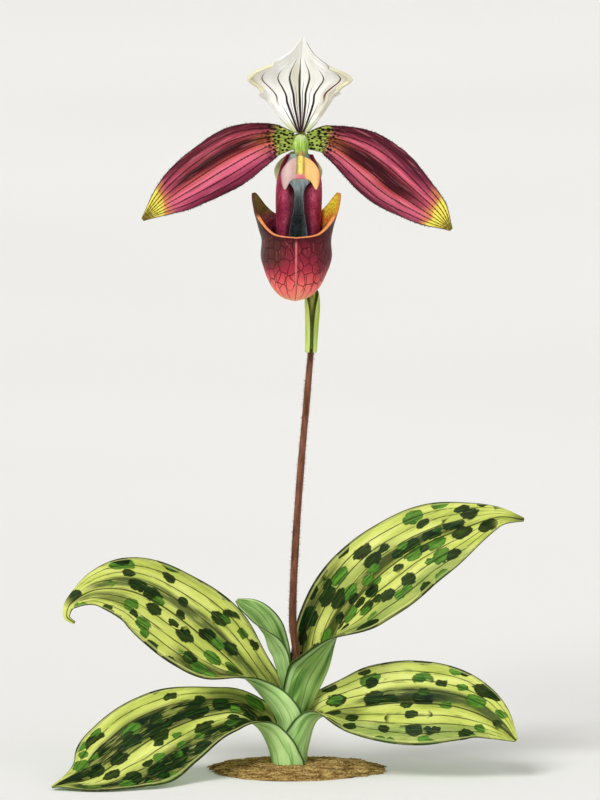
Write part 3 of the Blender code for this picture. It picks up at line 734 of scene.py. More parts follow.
def petal_finish(name, stops, base_end, seed):
    """Rose and maroon bands along the petal, dark beaded veins, a spotted green base, a yellow tip.

    stops are the colours from the lower margin to the upper one; the dark band near the middle is
    maroon with painted shade along the fold where the upper half bends back.
    """
    petal = Finish(name, 0.5, coat=0.02, sheen=0.03)
    across, along, size = petal.on_blade()
    here = petal.move("ADD", size, seed)
    wave = petal.scaled(petal.clouds(here, (7, 14, 9), detail=1.0), 0.1, -0.05)
    strokes = petal.scaled(petal.clouds(here, (0.5, 8, 0.7), detail=2.0), 0.07, -0.035)
    level = petal.scaled(across, 0.5, petal.add(petal.add(wave, strokes), 0.5))
    # The dark band near the middle is maroon with painted shade along the fold of the upper half.
    bands = petal.shades(level, stops)
    # The dark bands run out into rose before the tip, and turn orange-brown towards the base.
    reach = petal.off(across)
    rose = petal.shades(reach, [(0.0, (214, 98, 116)), (0.6, (208, 100, 128)), (1.0, (150, 56, 80))])
    petal.colour = petal.mix(petal.times(petal.rise(along, 0.62, 0.88), 0.9), bands, rose)
    warm = petal.times(petal.rise(along, 0.3, 0.1), petal.window(across, -0.75, -0.35, 0.2, 0.75), 0.75)
    petal.over((176, 104, 58), warm)
    streak = petal.clouds(here, (0.7, 9, 0.7), detail=3.0)
    petal.over((84, 24, 40), petal.rise(streak, 0.5, 0.7), 0.45)
    petal.over((232, 140, 150), petal.rise(streak, 0.48, 0.28), 0.3)
    tip = petal.scaled(petal.clouds(here, 3.0), 0.1, petal.scaled(across, 0.03, along))
    petal.over((216, 150, 76), petal.rise(tip, 0.83, 0.9), 0.7)
    tip = petal.rise(tip, 0.885, 0.935)
    petal.over((240, 230, 96), tip)
    base = petal.rise(petal.scaled(petal.clouds(here, 2.5), 0.08, along), base_end + 0.07, base_end + 0.01)
    green = petal.mix(petal.clouds(here, 1.5), (128, 158, 56), (190, 210, 104))
    petal.over(green, base)
    # Veins, beaded, closer together where the petal is narrow.
    uneven = petal.times(petal.clouds(here, 1.2), 9.0)
    beads = petal.calc("SINE", petal.scaled(petal.parts(size)[1], 5.2, uneven))
    thick = petal.scaled(beads, 0.022, 0.095)
    lane = petal.scaled(across, PETAL_VEINS / 2, PETAL_VEINS / 2 + 0.5)
    vein = petal.times(petal.lines(lane, thick, petal.times(thick, 0.4)), petal.rise(along, 0.04, 0.1))
    petal.over((54, 14, 22), vein, 0.88)
    # Black dots on the green base.
    cell = petal.cells(here, (0.85, 1.3, 1.0), spread=0.85)
    dot = petal.rise(cell.outputs["Distance"], 0.38, 0.28)
    dot = petal.times(dot, petal.rise(along, base_end + 0.1, base_end + 0.02))
    petal.over((28, 22, 18), dot)
    edge = petal.times(petal.rise(reach, 0.94, 0.99), petal.rise(along, 0.97, 0.9))
    petal.over((74, 26, 38), edge, 0.8)
    fine = petal.clouds(petal.on_piece(), 0.3, detail=2.0)
    petal.grain(0.3, fine, (40, 10, 20), (255, 220, 220))
    height = petal.add(petal.times(vein, 0.8), petal.times(streak, 0.5))
    return petal.done(petal.add(height, dot), 0.14)


def petal_back():
    """The paler rose outer side, with its veins faint through it."""
    petal = Finish("petal back rose", 0.55, sheen=0.05)
    across, along, size = petal.on_blade()
    streak = petal.clouds(size, (0.8, 10, 0.8))
    petal.colour = petal.shades(streak, [(0.3, (150, 72, 84)), (0.7, (204, 126, 130))])
    petal.over((150, 170, 90), petal.rise(along, 0.25, 0.02))
    petal.over((224, 210, 110), petal.rise(along, 0.88, 0.98))
    vein = petal.lines(petal.scaled(across, PETAL_VEINS / 2, PETAL_VEINS / 2 + 0.5), 0.09, 0.03)
    petal.over((96, 36, 48), vein, 0.5)
    return petal.done(vein, 0.1)


def pouch_outside():
    """Dark maroon above, red below and orange-pink at the tip, under a net of dark veins."""
    pouch = Finish("pouch outside", 0.4, coat=0.07)
    turn, rise_up, size = pouch.on_blade()
    where = pouch.on_piece()
    x, _, z = pouch.parts(where)
    cloud = pouch.clouds(where, (4, 4, 6), detail=3.0)
    level = pouch.add(z, pouch.scaled(cloud, 5.0, -2.5))
    span = 26.0
    share = pouch.scaled(level, 1 / span, -LIP_TIP_Z / span + 0.1)
    reds = [
        (0.08, (255, 172, 132)), (0.22, (252, 132, 120)), (0.36, (222, 90, 94)), (0.48, (168, 50, 70)),
        (0.62, (134, 38, 56)), (0.76, (104, 30, 42)), (0.9, (66, 22, 30)),
    ]
    pouch.colour = pouch.shades(share, reds)
    # Brown-black on the upper left, and darker towards both sides.
    aside = pouch.add(x, pouch.scaled(cloud, 6.0, -3.0))
    brown = pouch.times(pouch.rise(aside, 0.5, -5.5), pouch.rise(z, 152.0, 158.5))
    pouch.over((66, 46, 42), brown, 0.85)
    flank = pouch.times(pouch.rise(aside, 6.0, 11.0), pouch.rise(z, 149.0, 156.0))
    pouch.over((72, 34, 42), flank, 0.75)
    streak = pouch.clouds(where, (0.5, 0.5, 3.0), detail=3.0)
    pouch.over((210, 110, 110), pouch.rise(streak, 0.55, 0.75), 0.35)
    # A net of veins, and veins that spread from the tip.
    bent = pouch.wander(size, 2.5, 1.2)
    cell = pouch.cells(bent, (2.3, 3.1, 1.0), feature="DISTANCE_TO_EDGE", spread=1.0)
    net = pouch.times(pouch.rise(cell.outputs["Distance"], 0.07, 0.02), pouch.rise(z, 147.5, 150.5))
    rays = pouch.lines(pouch.scaled(turn, 9.0, pouch.scaled(cloud, 0.5, 0.25)), 0.06, 0.02)
    veins = pouch.most(net, pouch.times(rays, pouch.rise(z, 155.0, 152.0)))
    pouch.over((66, 14, 24), veins, 0.85)
    aside = pouch.off(turn)
    ridge = pouch.times(pouch.rise(aside, 0.011, 0.003), pouch.rise(rise_up, 0.96, 0.9))
    pouch.over((226, 132, 134), ridge, 0.75)
    under = pouch.window(rise_up, 0.86, 0.93, 0.96, 0.97)
    pouch.over((70, 18, 26), under, pouch.rise(aside, 0.5, 0.4), 0.6)
    paint_rim(pouch, turn, rise_up)
    fine = pouch.clouds(where, 0.3, detail=2.0)
    pouch.grain(0.3, fine, (40, 10, 16), (255, 215, 210))
    return pouch.done(pouch.add(veins, pouch.times(ridge, 1.5)), 0.12)


def paint_rim(pouch, turn, rise_up):
    """Adds the rim's thin orange line, which ends at the ears, and the ears' own edges."""
    aside = pouch.off(turn)
    front = pouch.rise(aside, 0.44, 0.38)
    pouch.over((238, 156, 92), pouch.rise(rise_up, 0.981, 0.988), front)
    ear = pouch.window(aside, 0.38, 0.44, 0.7, 0.78)
    edge = pouch.mix(pouch.rise(turn, -0.1, 0.1), (84, 54, 34), (206, 140, 52))
    pouch.over(edge, pouch.rise(rise_up, 0.975, 0.985), ear)


def pouch_inside():
    """Violet-maroon inside, with an olive ear on the left and a yellow-orange one on the right."""
    pouch = Finish("pouch inside", 0.45, coat=0.04)
    where = pouch.on_piece()
    x, _, z = pouch.parts(where)
    turn, rise_up, size = pouch.on_blade()
    cloud = pouch.clouds(where, 2.0)
    pouch.colour = pouch.mix(pouch.rise(cloud, 0.35, 0.65), (78, 22, 40), (150, 62, 88))
    high = pouch.add(z, pouch.scaled(cloud, 4.0, -2.0))
    left = pouch.times(pouch.rise(high, 167.5, 173.0), pouch.rise(x, -2.0, -6.0))
    pouch.over(pouch.mix(cloud, (98, 78, 34), (140, 122, 58)), left)
    right = pouch.times(pouch.rise(high, 164.0, 168.5), pouch.rise(x, 6.5, 9.0))
    gold = pouch.mix(pouch.rise(high, 168.5, 173.0), (206, 122, 46), (230, 206, 58))
    pouch.over(gold, right)
    channel = pouch.rise(pouch.off(turn), 0.86, 0.92)
    pouch.over(pouch.mix(cloud, (84, 100, 102), (150, 168, 170)), channel)
    paint_rim(pouch, turn, rise_up)
    pouch.over((60, 16, 28), pouch.dots(size, (1.3, 1.3, 1.0)), 0.5)
    return pouch.done(cloud, 0.1)


def claw_outside():
    """The maroon lobes folded in over the opening."""
    claw = Finish("lip lobes maroon", 0.5, coat=0.02)
    across, _, size = claw.on_blade()
    cloud = claw.clouds(claw.on_piece(), (2.0, 2.0, 5.0))
    maroons = [(0.3, (124, 34, 56)), (0.5, (158, 50, 80)), (0.7, (188, 80, 110))]
    claw.colour = claw.shades(cloud, maroons)
    # A near-black band along the lobes' inner edges: their dark maroon with painted shade where they turn in
    # to the channel.
    claw.over((46, 14, 24), claw.rise(claw.off(across), 0.84, 0.97), 0.93)
    dot = claw.dots(size, (0.9, 1.1, 1.0))
    claw.over((70, 16, 30), dot, 0.35)
    return claw.done(claw.less(cloud, dot), 0.1)


def claw_inside():
    """The grey-blue channel of the lip's stalk."""
    claw = Finish("lip channel", 0.5)
    across, along, size = claw.on_blade()
    cloud = claw.clouds(size, (0.8, 4, 1))
    greys = [(0.3, (120, 140, 142)), (0.55, (176, 192, 194)), (0.75, (224, 232, 232))]
    claw.colour = claw.shades(cloud, greys)
    # Painted shade: darker lower down the channel.
    claw.over((84, 100, 102), claw.rise(along, 0.55, 0.25), 0.6)
    side = claw.times(claw.rise(claw.off(across), 0.5, 0.72), claw.rise(along, 0.6, 0.75))
    claw.over((112, 24, 44), side)
    return claw.done(cloud, 0.1)


def column_finish():
    """Streaked green, paler on top."""
    column = Finish("column green", 0.4, coat=0.06)
    where = column.on_piece()
    streak = column.clouds(where, (0.45, 3.0, 3.0), detail=2.0)
    greens = [(0.32, (112, 152, 58)), (0.5, (158, 192, 84)), (0.68, (200, 220, 132))]
    column.colour = column.shades(streak, greens)
    top = column.rise(column.parts(where)[2], 191.0, 192.8)
    column.over((226, 232, 190), top, 0.5)
    return column.done(streak, 0.08)


def shield_finish():
    """Pinkish grey on the left, peach on the right, yellow and green in the middle."""
    shield = Finish("shield peach and pink", 0.35, coat=0.2)
    where = shield.on_piece()
    x, _, z = shield.parts(where)
    side = shield.add(x, shield.scaled(shield.clouds(where, 1.5), 0.8, -0.4))
    stops = [
        (0.05, (186, 150, 150)), (0.2, (206, 176, 172)), (0.385, (198, 158, 154)), (0.42, (128, 134, 54)),
        (0.465, (230, 212, 108)), (0.535, (236, 214, 112)), (0.58, (138, 138, 54)), (0.615, (248, 186, 112)),
        (0.85, (250, 196, 128)), (0.97, (222, 150, 90)),
    ]
    middle, width = 2.85, 13.0
    shield.colour = shield.shades(shield.scaled(side, 1 / width, (width / 2 - middle) / width), stops)
    centre = shield.window(side, 1.3, 1.7, 4.0, 4.4)
    shield.over((224, 128, 138), centre, shield.rise(z, 183.0, 182.2))
    edge = shield.off(shield.parts(shield.map("place"))[0], 0.5)
    shield.over((128, 70, 70), shield.rise(edge, 0.46, 0.49), 0.6)
    fine = shield.clouds(where, (0.25, 0.25, 1.5), detail=2.0)
    shield.grain(0.3, fine, (90, 40, 30), (255, 250, 230))
    return shield.done(fine, 0.06)


def soil_finish(name, dark, light):
    """Brown grain in streaks along the ground, with pale specks."""
    soil = Finish(name, 0.95)
    where = soil.on_piece()
    streak = soil.clouds(where, (6.0, 2.0, 0.6), detail=4.0)
    grain = soil.clouds(where, 0.6, detail=4.0, rough=0.7)
    level = soil.scaled(grain, 0.5, soil.times(streak, 0.5))
    soil.colour = soil.shades(level, [(0.38, dark), (0.5, light), (0.62, (222, 192, 124))])
    return soil.done(grain, 0.5)


# Building.


def new_object(name, bm, looks):
    mesh = bpy.data.meshes.new(name)
    bm.to_mesh(mesh)
    bm.free()
    mesh.shade_smooth()
    for look in looks:
        mesh.materials.append(look)
    obj = bpy.data.objects.new(name, mesh)
    bpy.context.scene.collection.objects.link(obj)
    return obj


def on_plant(obj, slot, node=None):
    """Puts a piece on the plant's body (slot is not used); with a node it stands for that solid."""
    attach(obj, "root")
    if node:
        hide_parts(node)


def sheet_grid(grid, place, size, crowd=1.0):
    """A grid moved to place(across, along), with two maps: place, and size in millimetres."""
    bm = bmesh.new()
    bmesh.ops.create_grid(bm, x_segments=grid[0], y_segments=grid[1], size=1.0)
    placed = bm.loops.layers.uv.new("place")
    sized = bm.loops.layers.uv.new("size")
    for face in bm.faces:
        for loop in face.loops:
            across, along = loop.vert.co.x, ((loop.vert.co.y + 1) / 2) ** crowd
            loop[placed].uv = (across / 2 + 0.5, along)
            loop[sized].uv = size(across, along)
    for vertex in bm.verts:
        vertex.co = place(vertex.co.x, ((vertex.co.y + 1) / 2) ** crowd) * MM
    return bm


def spots(mesh):
    """The across and along of each vertex, by its index."""
    places = mesh.uv_layers["place"].data
    found = {loop.vertex_index: places[loop.index].uv for loop in mesh.loops}
    return {index: (uv[0] * 2 - 1, uv[1]) for index, uv in found.items()}


def raised(obj, relief):
    """Moves each vertex along its normal by relief(across, along) in millimetres."""
    vertices = obj.data.vertices
    shifts = {
        index: vertices[index].normal * (relief(*spot) * MM) for index, spot in spots(obj.data).items()
    }
    for index, shift in shifts.items():
        vertices[index].co += shift


def with_wall(obj, thickness, back=1, group=""):
    """Gives a sheet its thickness; the back takes the material that comes back places later."""
    wall = obj.modifiers.new("wall", "SOLIDIFY")
    wall.thickness = thickness * MM
    wall.offset = 0.0
    wall.vertex_group = group
    wall.material_offset = back
    graph = bpy.context.evaluated_depsgraph_get()
    mesh = bpy.data.meshes.new_from_object(obj.evaluated_get(graph))
    obj.modifiers.clear()
    obj.data = mesh


def walled(obj, thickness, thinness=0.4, back=1):
    """Gives a sheet its thickness, less at the margins and the tip."""
    group = obj.vertex_groups.new(name="wall")
    for index, (across, along) in spots(obj.data).items():
        edge = max(smooth_step(0.8, 1.0, abs(across)), smooth_step(0.95, 1.0, along))
        group.add([index], 1 - (1 - thinness) * edge, "REPLACE")
    with_wall(obj, thickness, back, "wall")


def blade(name, form, grid, thickness, looks, net=None, relief=None, flip=False):
    """Builds a blade, over the pieces inside it if a net is given; returns it and the net's tree.

    net is the columns and rows of the solid's net, its thickness and what it has to clear. flip turns
    the maps over, so that across is 1 at the upper margin of either petal.
    """
    surface = blade_surface(form)
    half_width = track(form["half_width"])
    length = length_of(form["spine"])
    floor = form.get("floor")
    crowd = form.get("crowd", 1.0)
    way = -1 if flip else 1
    tree = None

    def grown(across, along):
        point = surface(across * way, along)
        if floor is not None:
            point.z = above_floor(point.z, floor)
        return point

    place = grown
    if net:
        net_columns, net_rows, solid_thickness, inner = net
        clear = [(tree, side, room + NEST_ROOM + solid_thickness / 2) for tree, side, room in inner]
        place, tree = nested(grown, net_columns, net_rows, crowd, clear)
    bm = sheet_grid(grid, place, lambda across, along: (across * half_width(along), along * length), crowd)
    if flip:
        bmesh.ops.reverse_faces(bm, faces=bm.faces)
    bm.normal_update()
    obj = new_object(name, bm, looks)
    if relief:
        raised(obj, relief)
    walled(obj, thickness)
    return obj, tree


def leaf_relief(half_width, seed):
    """The sunk midrib and veins of a leaf, and its uneven surface."""

    def relief(across, along):
        q = across * half_width(along)
        awake = smooth_step(0.12, 0.3, along)
        height = -0.45 * math.exp(-((q / 0.8) ** 2)) * awake
        lane = abs(across) * LEAF_VEINS
        height -= 0.09 * math.exp(-(((lane % 1.0 - 0.5) / 0.16) ** 2)) * smooth_step(0.08, 0.2, abs(across))
        return height + 0.45 * awake * noise.noise(Vector((q / 9, along * 9, seed)))

    return relief


def petal_relief(seed):
    """Raised veins and a puckered margin."""

    def relief(across, along):
        lane = (across + 1) * PETAL_VEINS / 2 + 0.5
        height = 0.14 * math.exp(-(((lane % 1.0 - 0.5) / 0.2) ** 2))
        pucker = smooth_step(0.6, 1.0, abs(across)) * 0.35
        height += pucker * noise.noise(Vector((across * 2, along * 26, seed)))
        return height * smooth_step(0.0, 0.1, along)

    return relief


def sepal_relief(across, along):
    """Shallow ribs along the stripes and an uneven surface."""
    height = 0.12 * math.cos(across * 5.9 * math.tau) * smooth_step(0.95, 0.3, along)
    return height + 0.3 * noise.noise(Vector((across * 3, along * 4, 3.1)))


def round_curve(curve, along, turn):
    """The point of a curve at along, and the way outwards from it at a turn."""
    ahead = direction(curve, along)
    across = ahead.cross(Vector((0, -1, 0.2))).normalized()
    return curve(along), across * math.cos(turn) + ahead.cross(across) * math.sin(turn)


def tube(name, curve, radius, grid, look):
    """A solid rod along a curve. radius is a function of (along, turn), turn in radians."""
    bm = bmesh.new()
    bmesh.ops.create_grid(bm, x_segments=grid[0], y_segments=grid[1], size=1.0)
    for vertex in bm.verts:
        turn, along = vertex.co.x * math.pi, (vertex.co.y + 1) / 2
        point, outward = round_curve(curve, along, turn)
        vertex.co = (point + outward * radius(along, turn)) * MM
    bmesh.ops.remove_doubles(bm, verts=bm.verts, dist=0.01 * MM)
    bmesh.ops.holes_fill(bm, edges=bm.edges, sides=0)
    bmesh.ops.recalc_face_normals(bm, faces=bm.faces)
    if bm.calc_volume(signed=True) < 0:
        bmesh.ops.reverse_faces(bm, faces=bm.faces)
    return new_object(name, bm, [look])


def clear_of(obj, room=GAP):
    bm = bmesh.new()
    bm.from_mesh(obj.data)
    tree = BVHTree.FromBMesh(bm)
    bm.free()
    return tree, 1, room


def hairs(name, slot, roots, look, thickness):
    """Fine tapering hairs; each root is a point and a vector to the hair's tip, in millimetres."""
    bm = bmesh.new()
    for start, reach in roots:
        middle = Matrix.Translation((start + reach / 2) * MM)
        bmesh.ops.create_cone(
            bm,
            segments=4,
            radius1=thickness * MM,
            radius2=thickness * 0.15 * MM,
            depth=reach.length * MM,
            cap_ends=True,
            matrix=middle @ reach.to_track_quat("Z", "Y").to_matrix().to_4x4(),
        )
    on_plant(new_object(name, bm, [look]), slot)


def tube_hairs(curve, radius, count, low, high, draw):
    """Roots of short hairs that stand out all round a stalk."""
    roots = []
    for _ in range(count):
        along, turn = draw.random(), draw.uniform(-math.pi, math.pi)
        point, outward = round_curve(curve, along, turn)
        lean = Vector((draw.uniform(-0.4, 0.4), draw.uniform(-0.4, 0.4), draw.uniform(-0.2, 0.6)))
        reach = (outward + lean).normalized() * draw.uniform(low, high)
        roots.append((point + outward * (radius(along, turn) - 0.05), reach))
    return roots


def margin_hairs(form, count, low, high, draw):
    """Roots of the hairs along both margins of a petal."""
    surface = blade_surface(form)
    roots = []
    for side in (-1, 1):
        for _ in range(count):
            along = draw.uniform(0.08, 0.9)
            start = surface(side, along)
            out = (start - surface(side * 0.9, along)).normalized()
            ahead = (surface(side, along + 0.01) - start).normalized()
            lean = ahead * draw.uniform(-0.2, 0.7) + Vector((0, draw.uniform(-0.5, 0.3), 0))
            roots.append((start - out * 0.15, (out + lean).normalized() * draw.uniform(low, high)))
    return roots


# Leaves and stalks.

# Bands of shade on a leaf: middle, half width, first and last place, strength, colour.
DARK_SHADE = (12, 34, 8)
GREY_SHADE = (70, 84, 42)
PALE_SHADE = (122, 144, 76)

UPPER_RIGHT_BANDS = [
    (-0.16, 0.16, 0.2, 0.85, 0.9, DARK_SHADE),
    (-0.42, 0.14, 0.3, 0.66, 0.6, PALE_SHADE),
    (-0.85, 0.4, 0.16, 0.5, 0.85, DARK_SHADE),
    (0.8, 0.3, 0.2, 0.85, 0.7, PALE_SHADE),
    (0.0, 1.6, 0.93, 1.2, 0.9, DARK_SHADE),
]
UPPER_LEFT_BANDS = [
    (0.22, 0.2, 0.16, 0.9, 0.9, GREY_SHADE),
    (-0.78, 0.36, 0.2, 0.52, 0.9, DARK_SHADE),
    (0.6, 0.3, 0.1, 0.3, 0.6, GREY_SHADE),
    (-0.4, 0.3, 0.66, 0.95, 0.7, GREY_SHADE),
]
LOWER_RIGHT_BANDS = [
    (-0.2, 0.2, 0.4, 1.1, 0.95, GREY_SHADE),
    (-0.14, 0.1, 0.3, 0.75, 0.8, DARK_SHADE),
    (0.3, 0.3, 0.14, 0.42, 0.8, GREY_SHADE),
    (0.8, 0.34, 0.25, 0.95, 0.8, PALE_SHADE),
]
LOWER_LEFT_BANDS = [
    (0.3, 0.36, 0.1, 1.05, 1.0, DARK_SHADE),
    (-0.8, 0.5, 0.16, 1.0, 1.0, DARK_SHADE),
    (0.7, 0.2, 0.1, 0.4, 0.7, GREY_SHADE),
]
STALK_HAIRS = 2600
OVARY_HAIRS = 1100


def make_leaves():
    lean = path([(0, 0, 1.1), (0.2, 0.05, 9), STEM_TOP])
    width = track([(0, 3.3), (0.4, 3.2), (0.5, 2.2), (0.66, 1.75), (0.85, 1.35), (1, 1.2)])
    stem_look = plain_green("stem pale green", (150, 170, 96), (186, 200, 128))
    stem = tube("short_stem_grown", lean, lambda along, turn: width(along), (24, 24), stem_look)
    on_plant(stem, "stem", "short_stem")
    within = [clear_of(stem), clear_of(make_scape())]

    young = plain_leaf("young leaf green", (168, 200, 122), (124, 166, 84), (62, 98, 44), 3.0)
    young_back = plain_leaf("young leaf back", (166, 198, 126), (134, 174, 98), (78, 116, 60), 5.0)
    pale = plain_leaf("leaf back pale", (198, 228, 152), (156, 200, 114), (98, 142, 66), 1.0)
    deeper = plain_leaf("leaf back deeper", (176, 210, 122), (102, 144, 64), (48, 82, 34), 2.0)
    mottles = [
        mottled_leaf("leaf mottled upper right", 11.0, 0.6, UPPER_RIGHT_BANDS),
        mottled_leaf("leaf mottled upper left", 27.0, 0.55, UPPER_LEFT_BANDS),
        mottled_leaf("leaf mottled lower right", 43.0, 0.54, LOWER_RIGHT_BANDS),
        mottled_leaf("leaf mottled lower left", 62.0, 0.56, LOWER_LEFT_BANDS),
    ]
    leaves = [
        ("leaf_inner", "young_leaf", INNER_LEAF, (10, 13), 0.7, [young, young_back]),
        ("leaf_upper_right", "leaf", UPPER_RIGHT_LEAF, (12, 22), LEAF_THICKNESS, [mottles[0], deeper]),
        ("leaf_upper_left", "leaf", UPPER_LEFT_LEAF, (12, 24), LEAF_THICKNESS, [mottles[1], pale]),
        ("leaf_lower_right", "leaf", LOWER_RIGHT_LEAF, (12, 22), LEAF_THICKNESS, [mottles[2], pale]),
        ("leaf_lower_left", "leaf", LOWER_LEFT_LEAF, (12, 22), LEAF_THICKNESS, [mottles[3], pale]),
    ]
    for order, (node, slot, form, net, thickness, looks) in enumerate(leaves):
        relief = leaf_relief(track(form["half_width"]), order * 7.3)
        net = (*net, thickness, within)
        leaf, tree = blade(node + "_grown", form, (72, 144), thickness - 0.1, looks, net, relief)
        within.append((tree, -1, GAP + thickness / 2))
        on_plant(leaf, slot, node)


def make_scape():
    bends = [(1.7, 0.4, 34), (0.5, 0.5, 46), (1.3, 0.5, 68), (3.0, 0.5, 93), (4.7, 0.5, 113)]
    curve = path([STEM_TOP + Vector((0, 0, GAP)), *bends, SCAPE_TOP + Vector((0, 0, GAP + 0.15))])

    def radius(along, turn):
        swell = 0.03 * math.sin(along * 31) + 0.02 * math.sin(turn * 3 + along * 9)
        return 1.2 - 0.25 * along + swell + 0.12 * smooth_step(0.985, 1.0, along)

    look = stalk_finish("stalk maroon brown", (70, 42, 28), (146, 94, 70), 1.0)
    scape = tube("scape_stalk", curve, radius, (24, 120), look)
    on_plant(scape, "scape", "scape")
    down = stalk_finish("stalk hairs", (104, 60, 48), (176, 124, 104), 1.0)
    roots = tube_hairs(curve, radius, STALK_HAIRS, 0.35, 0.8, random.Random(11))
    bare_below = 42
    hairs("scape_hairs", "scape", [root for root in roots if root[0].z > bare_below], down, 0.035)
    return scape


def make_ovary_and_bract():
    bends = [(6.3, 1.9, 140), (6.0, 5.4, 157), (4.9, 8.0, 171), (3.4, 8.4, 182), (2.9, 5.6, 189.4)]
    curve = path([SCAPE_TOP + Vector((0, 0, GAP + 0.1)), *bends, HUB])
    girth = track([(0, 1.05), (0.35, 1.15), (0.6, 1.75), (0.85, 1.9), (1, 2.1)])

    def radius(along, turn):
        ribbed = smooth_step(0.3, 0.5, along) * (1 - smooth_step(0.85, 1.0, along))
        wider = 0.45 * smooth_step(0.88, 1.0, along) * math.cos(turn) ** 2
        return girth(along) * (1 + 0.1 * ribbed * math.cos(6 * turn) + wider)

    green = stalk_finish("ovary green", (122, 136, 48), (184, 196, 104), 1.2)
    ovary = tube("ovary_ribbed", curve, radius, (48, 90), green)
    on_plant(ovary, "bract", "ovary")
    down = stalk_finish("ovary hairs", (120, 100, 60), (190, 176, 120), 1.0)
    roots = tube_hairs(curve, radius, OVARY_HAIRS, 0.3, 0.6, random.Random(5))
    hairs("ovary_hairs", "bract", roots, down, 0.03)

    front = plain_leaf("bract inside", (206, 224, 112), (150, 176, 66), (96, 122, 40), 8.0)
    back = plain_leaf("bract outside", (232, 246, 130), (200, 224, 92), (150, 180, 60), 9.0)
    inner = [clear_of(ovary, 0.05), clear_of(bpy.data.objects["scape_stalk"], 0.05)]
    bract, _ = blade("bract_leaf", BRACT, (48, 60), 0.35, [front, back], (16, 12, 0.4, inner))
    on_plant(bract, "bract", "bract")


# The flower.

MARGIN_HAIRS = 260
# Colours across a petal, from its lower margin to its upper one. The dark band near the middle is
# maroon with painted shade along the fold where the upper half bends back.
LEFT_BANDS = [
    (0.0, (78, 24, 42)), (0.08, (134, 48, 76)), (0.18, (164, 66, 98)), (0.27, (214, 100, 128)),
    (0.38, (228, 116, 140)), (0.46, (214, 104, 112)), (0.51, (176, 70, 66)), (0.57, (72, 22, 26)),
    (0.67, (56, 18, 24)), (0.73, (150, 60, 72)), (0.82, (158, 66, 82)), (0.9, (98, 30, 44)),
    (1.0, (66, 22, 32)),
]
RIGHT_BANDS = [
    (0.0, (80, 28, 44)), (0.08, (136, 56, 82)), (0.18, (198, 94, 118)), (0.27, (224, 116, 132)),
    (0.34, (184, 76, 78)), (0.39, (66, 18, 24)), (0.54, (54, 16, 24)), (0.6, (146, 56, 66)),
    (0.67, (222, 110, 134)), (0.74, (172, 68, 92)), (0.82, (104, 36, 58)), (0.92, (86, 28, 44)),
    (1.0, (68, 24, 36)),
]


def make_petals():
    draw = random.Random(23)
    down = stalk_finish("petal hairs dark", (44, 18, 26), (96, 44, 54), 0.8)
    back = petal_back()
    left = petal_finish("petal left bands", LEFT_BANDS, 0.11, 4.0)
    right = petal_finish("petal right bands", RIGHT_BANDS, 0.115, 17.0)
    for node, form, look, flip, seed in (
        ("petal_left", LEFT_PETAL, left, False, 5.9),
        ("petal_right", RIGHT_PETAL, right, True, 1.7),
    ):
        looks, relief = [look, back], petal_relief(seed)
        petal, _ = blade(
            node + "_banded", form, (72, 140), PETAL_THICKNESS, looks, relief=relief, flip=flip
        )
        on_plant(petal, "petal", node)
        hairs(node + "_hairs", "petal", margin_hairs(form, MARGIN_HAIRS, 0.3, 0.75, draw), down, 0.05)


def make_sepals():
    looks = [striped_sepal(), sepal_back()]
    upper, _ = blade("sepal_dorsal_striped", DORSAL_SEPAL, (110, 110), 0.5, looks, relief=sepal_relief)
    on_plant(upper, "sepal", "sepal_dorsal")
    green = plain_green("lower sepal green", (176, 198, 122), (216, 228, 172))
    back = plain_green("lower sepal back", (160, 184, 108), (200, 216, 152))
    lower, _ = blade("sepal_lower_green", LOWER_SEPAL, (36, 60), 0.5, [green, back])
    on_plant(lower, "lower_sepal", "sepal_lower")


def make_column():
    start = HUB + Vector((0.05, -0.9, 0))
    bends = [(0, 0, 0), (0, -2.2, 0.1), (0, -4.3, -1.7), (0, -5.0, -4.2)]
    curve = path([start + Vector(bend) for bend in bends])
    girth = track([(0, 1.5), (0.2, 2.0), (0.5, 2.45), (0.8, 2.0), (0.95, 1.1), (1, 0.7)])

    def radius(along, turn):
        return girth(along) * (1 + 0.02 * math.cos(9 * turn))

    on_plant(tube("column_green", curve, radius, (54, 48), column_finish()), "column", "column")


def make_staminode():
    top = Vector((2.85, -8.6, 187.6))
    height, lean = 9.6, 4.6
    half_width = track([(0, 0.5), (0.1, 2.8), (0.3, 4.8), (0.5, 5.8), (0.75, 5.7), (0.9, 5.4), (1, 4.9)])
    drop = track([(0, 0.64), (0.35, 0.66), (0.6, 0.74), (0.75, 0.86), (0.87, 0.97), (0.95, 1), (1, 0.98)])

    def place(across, along):
        x = half_width(along) * across
        down = height * along * (1 + (drop(abs(across)) - 1) * along**2)
        dome = 1.3 * (1 - (x / 6.5) ** 2) + 0.5 * math.sin(math.pi * along)
        # A raised boss in the middle, with a groove at either side of it.
        boss = math.exp(-((x / 0.9) ** 2)) * smooth_step(0.05, 0.3, along) * smooth_step(0.85, 0.5, along)
        groove = math.exp(-(((abs(x) - 1.7) / 0.6) ** 2)) * smooth_step(0.15, 0.35, along)
        dome += 0.5 * boss - 0.25 * groove
        return top + Vector((x, -dome - lean * down / height, -down))

    def size(across, along):
        return across * half_width(along), along * height

    look = shield_finish()
    shield = new_object("staminode_shield", sheet_grid((60, 48), place, size), [look, look])
    walled(shield, 0.7, 0.5, back=0)
    neck = path([(2.95, -6.5, 188.2), (2.9, -8.2, 187), (2.85, -11, 185.2)])
    width = track([(0, 0.7), (0.5, 0.8), (1, 1.1)])
    stalk = tube("staminode_neck", neck, lambda along, turn: width(along), (24, 16), look)
    on_plant(shield, "staminode", "staminode")
    on_plant(stalk, "staminode", "staminode")


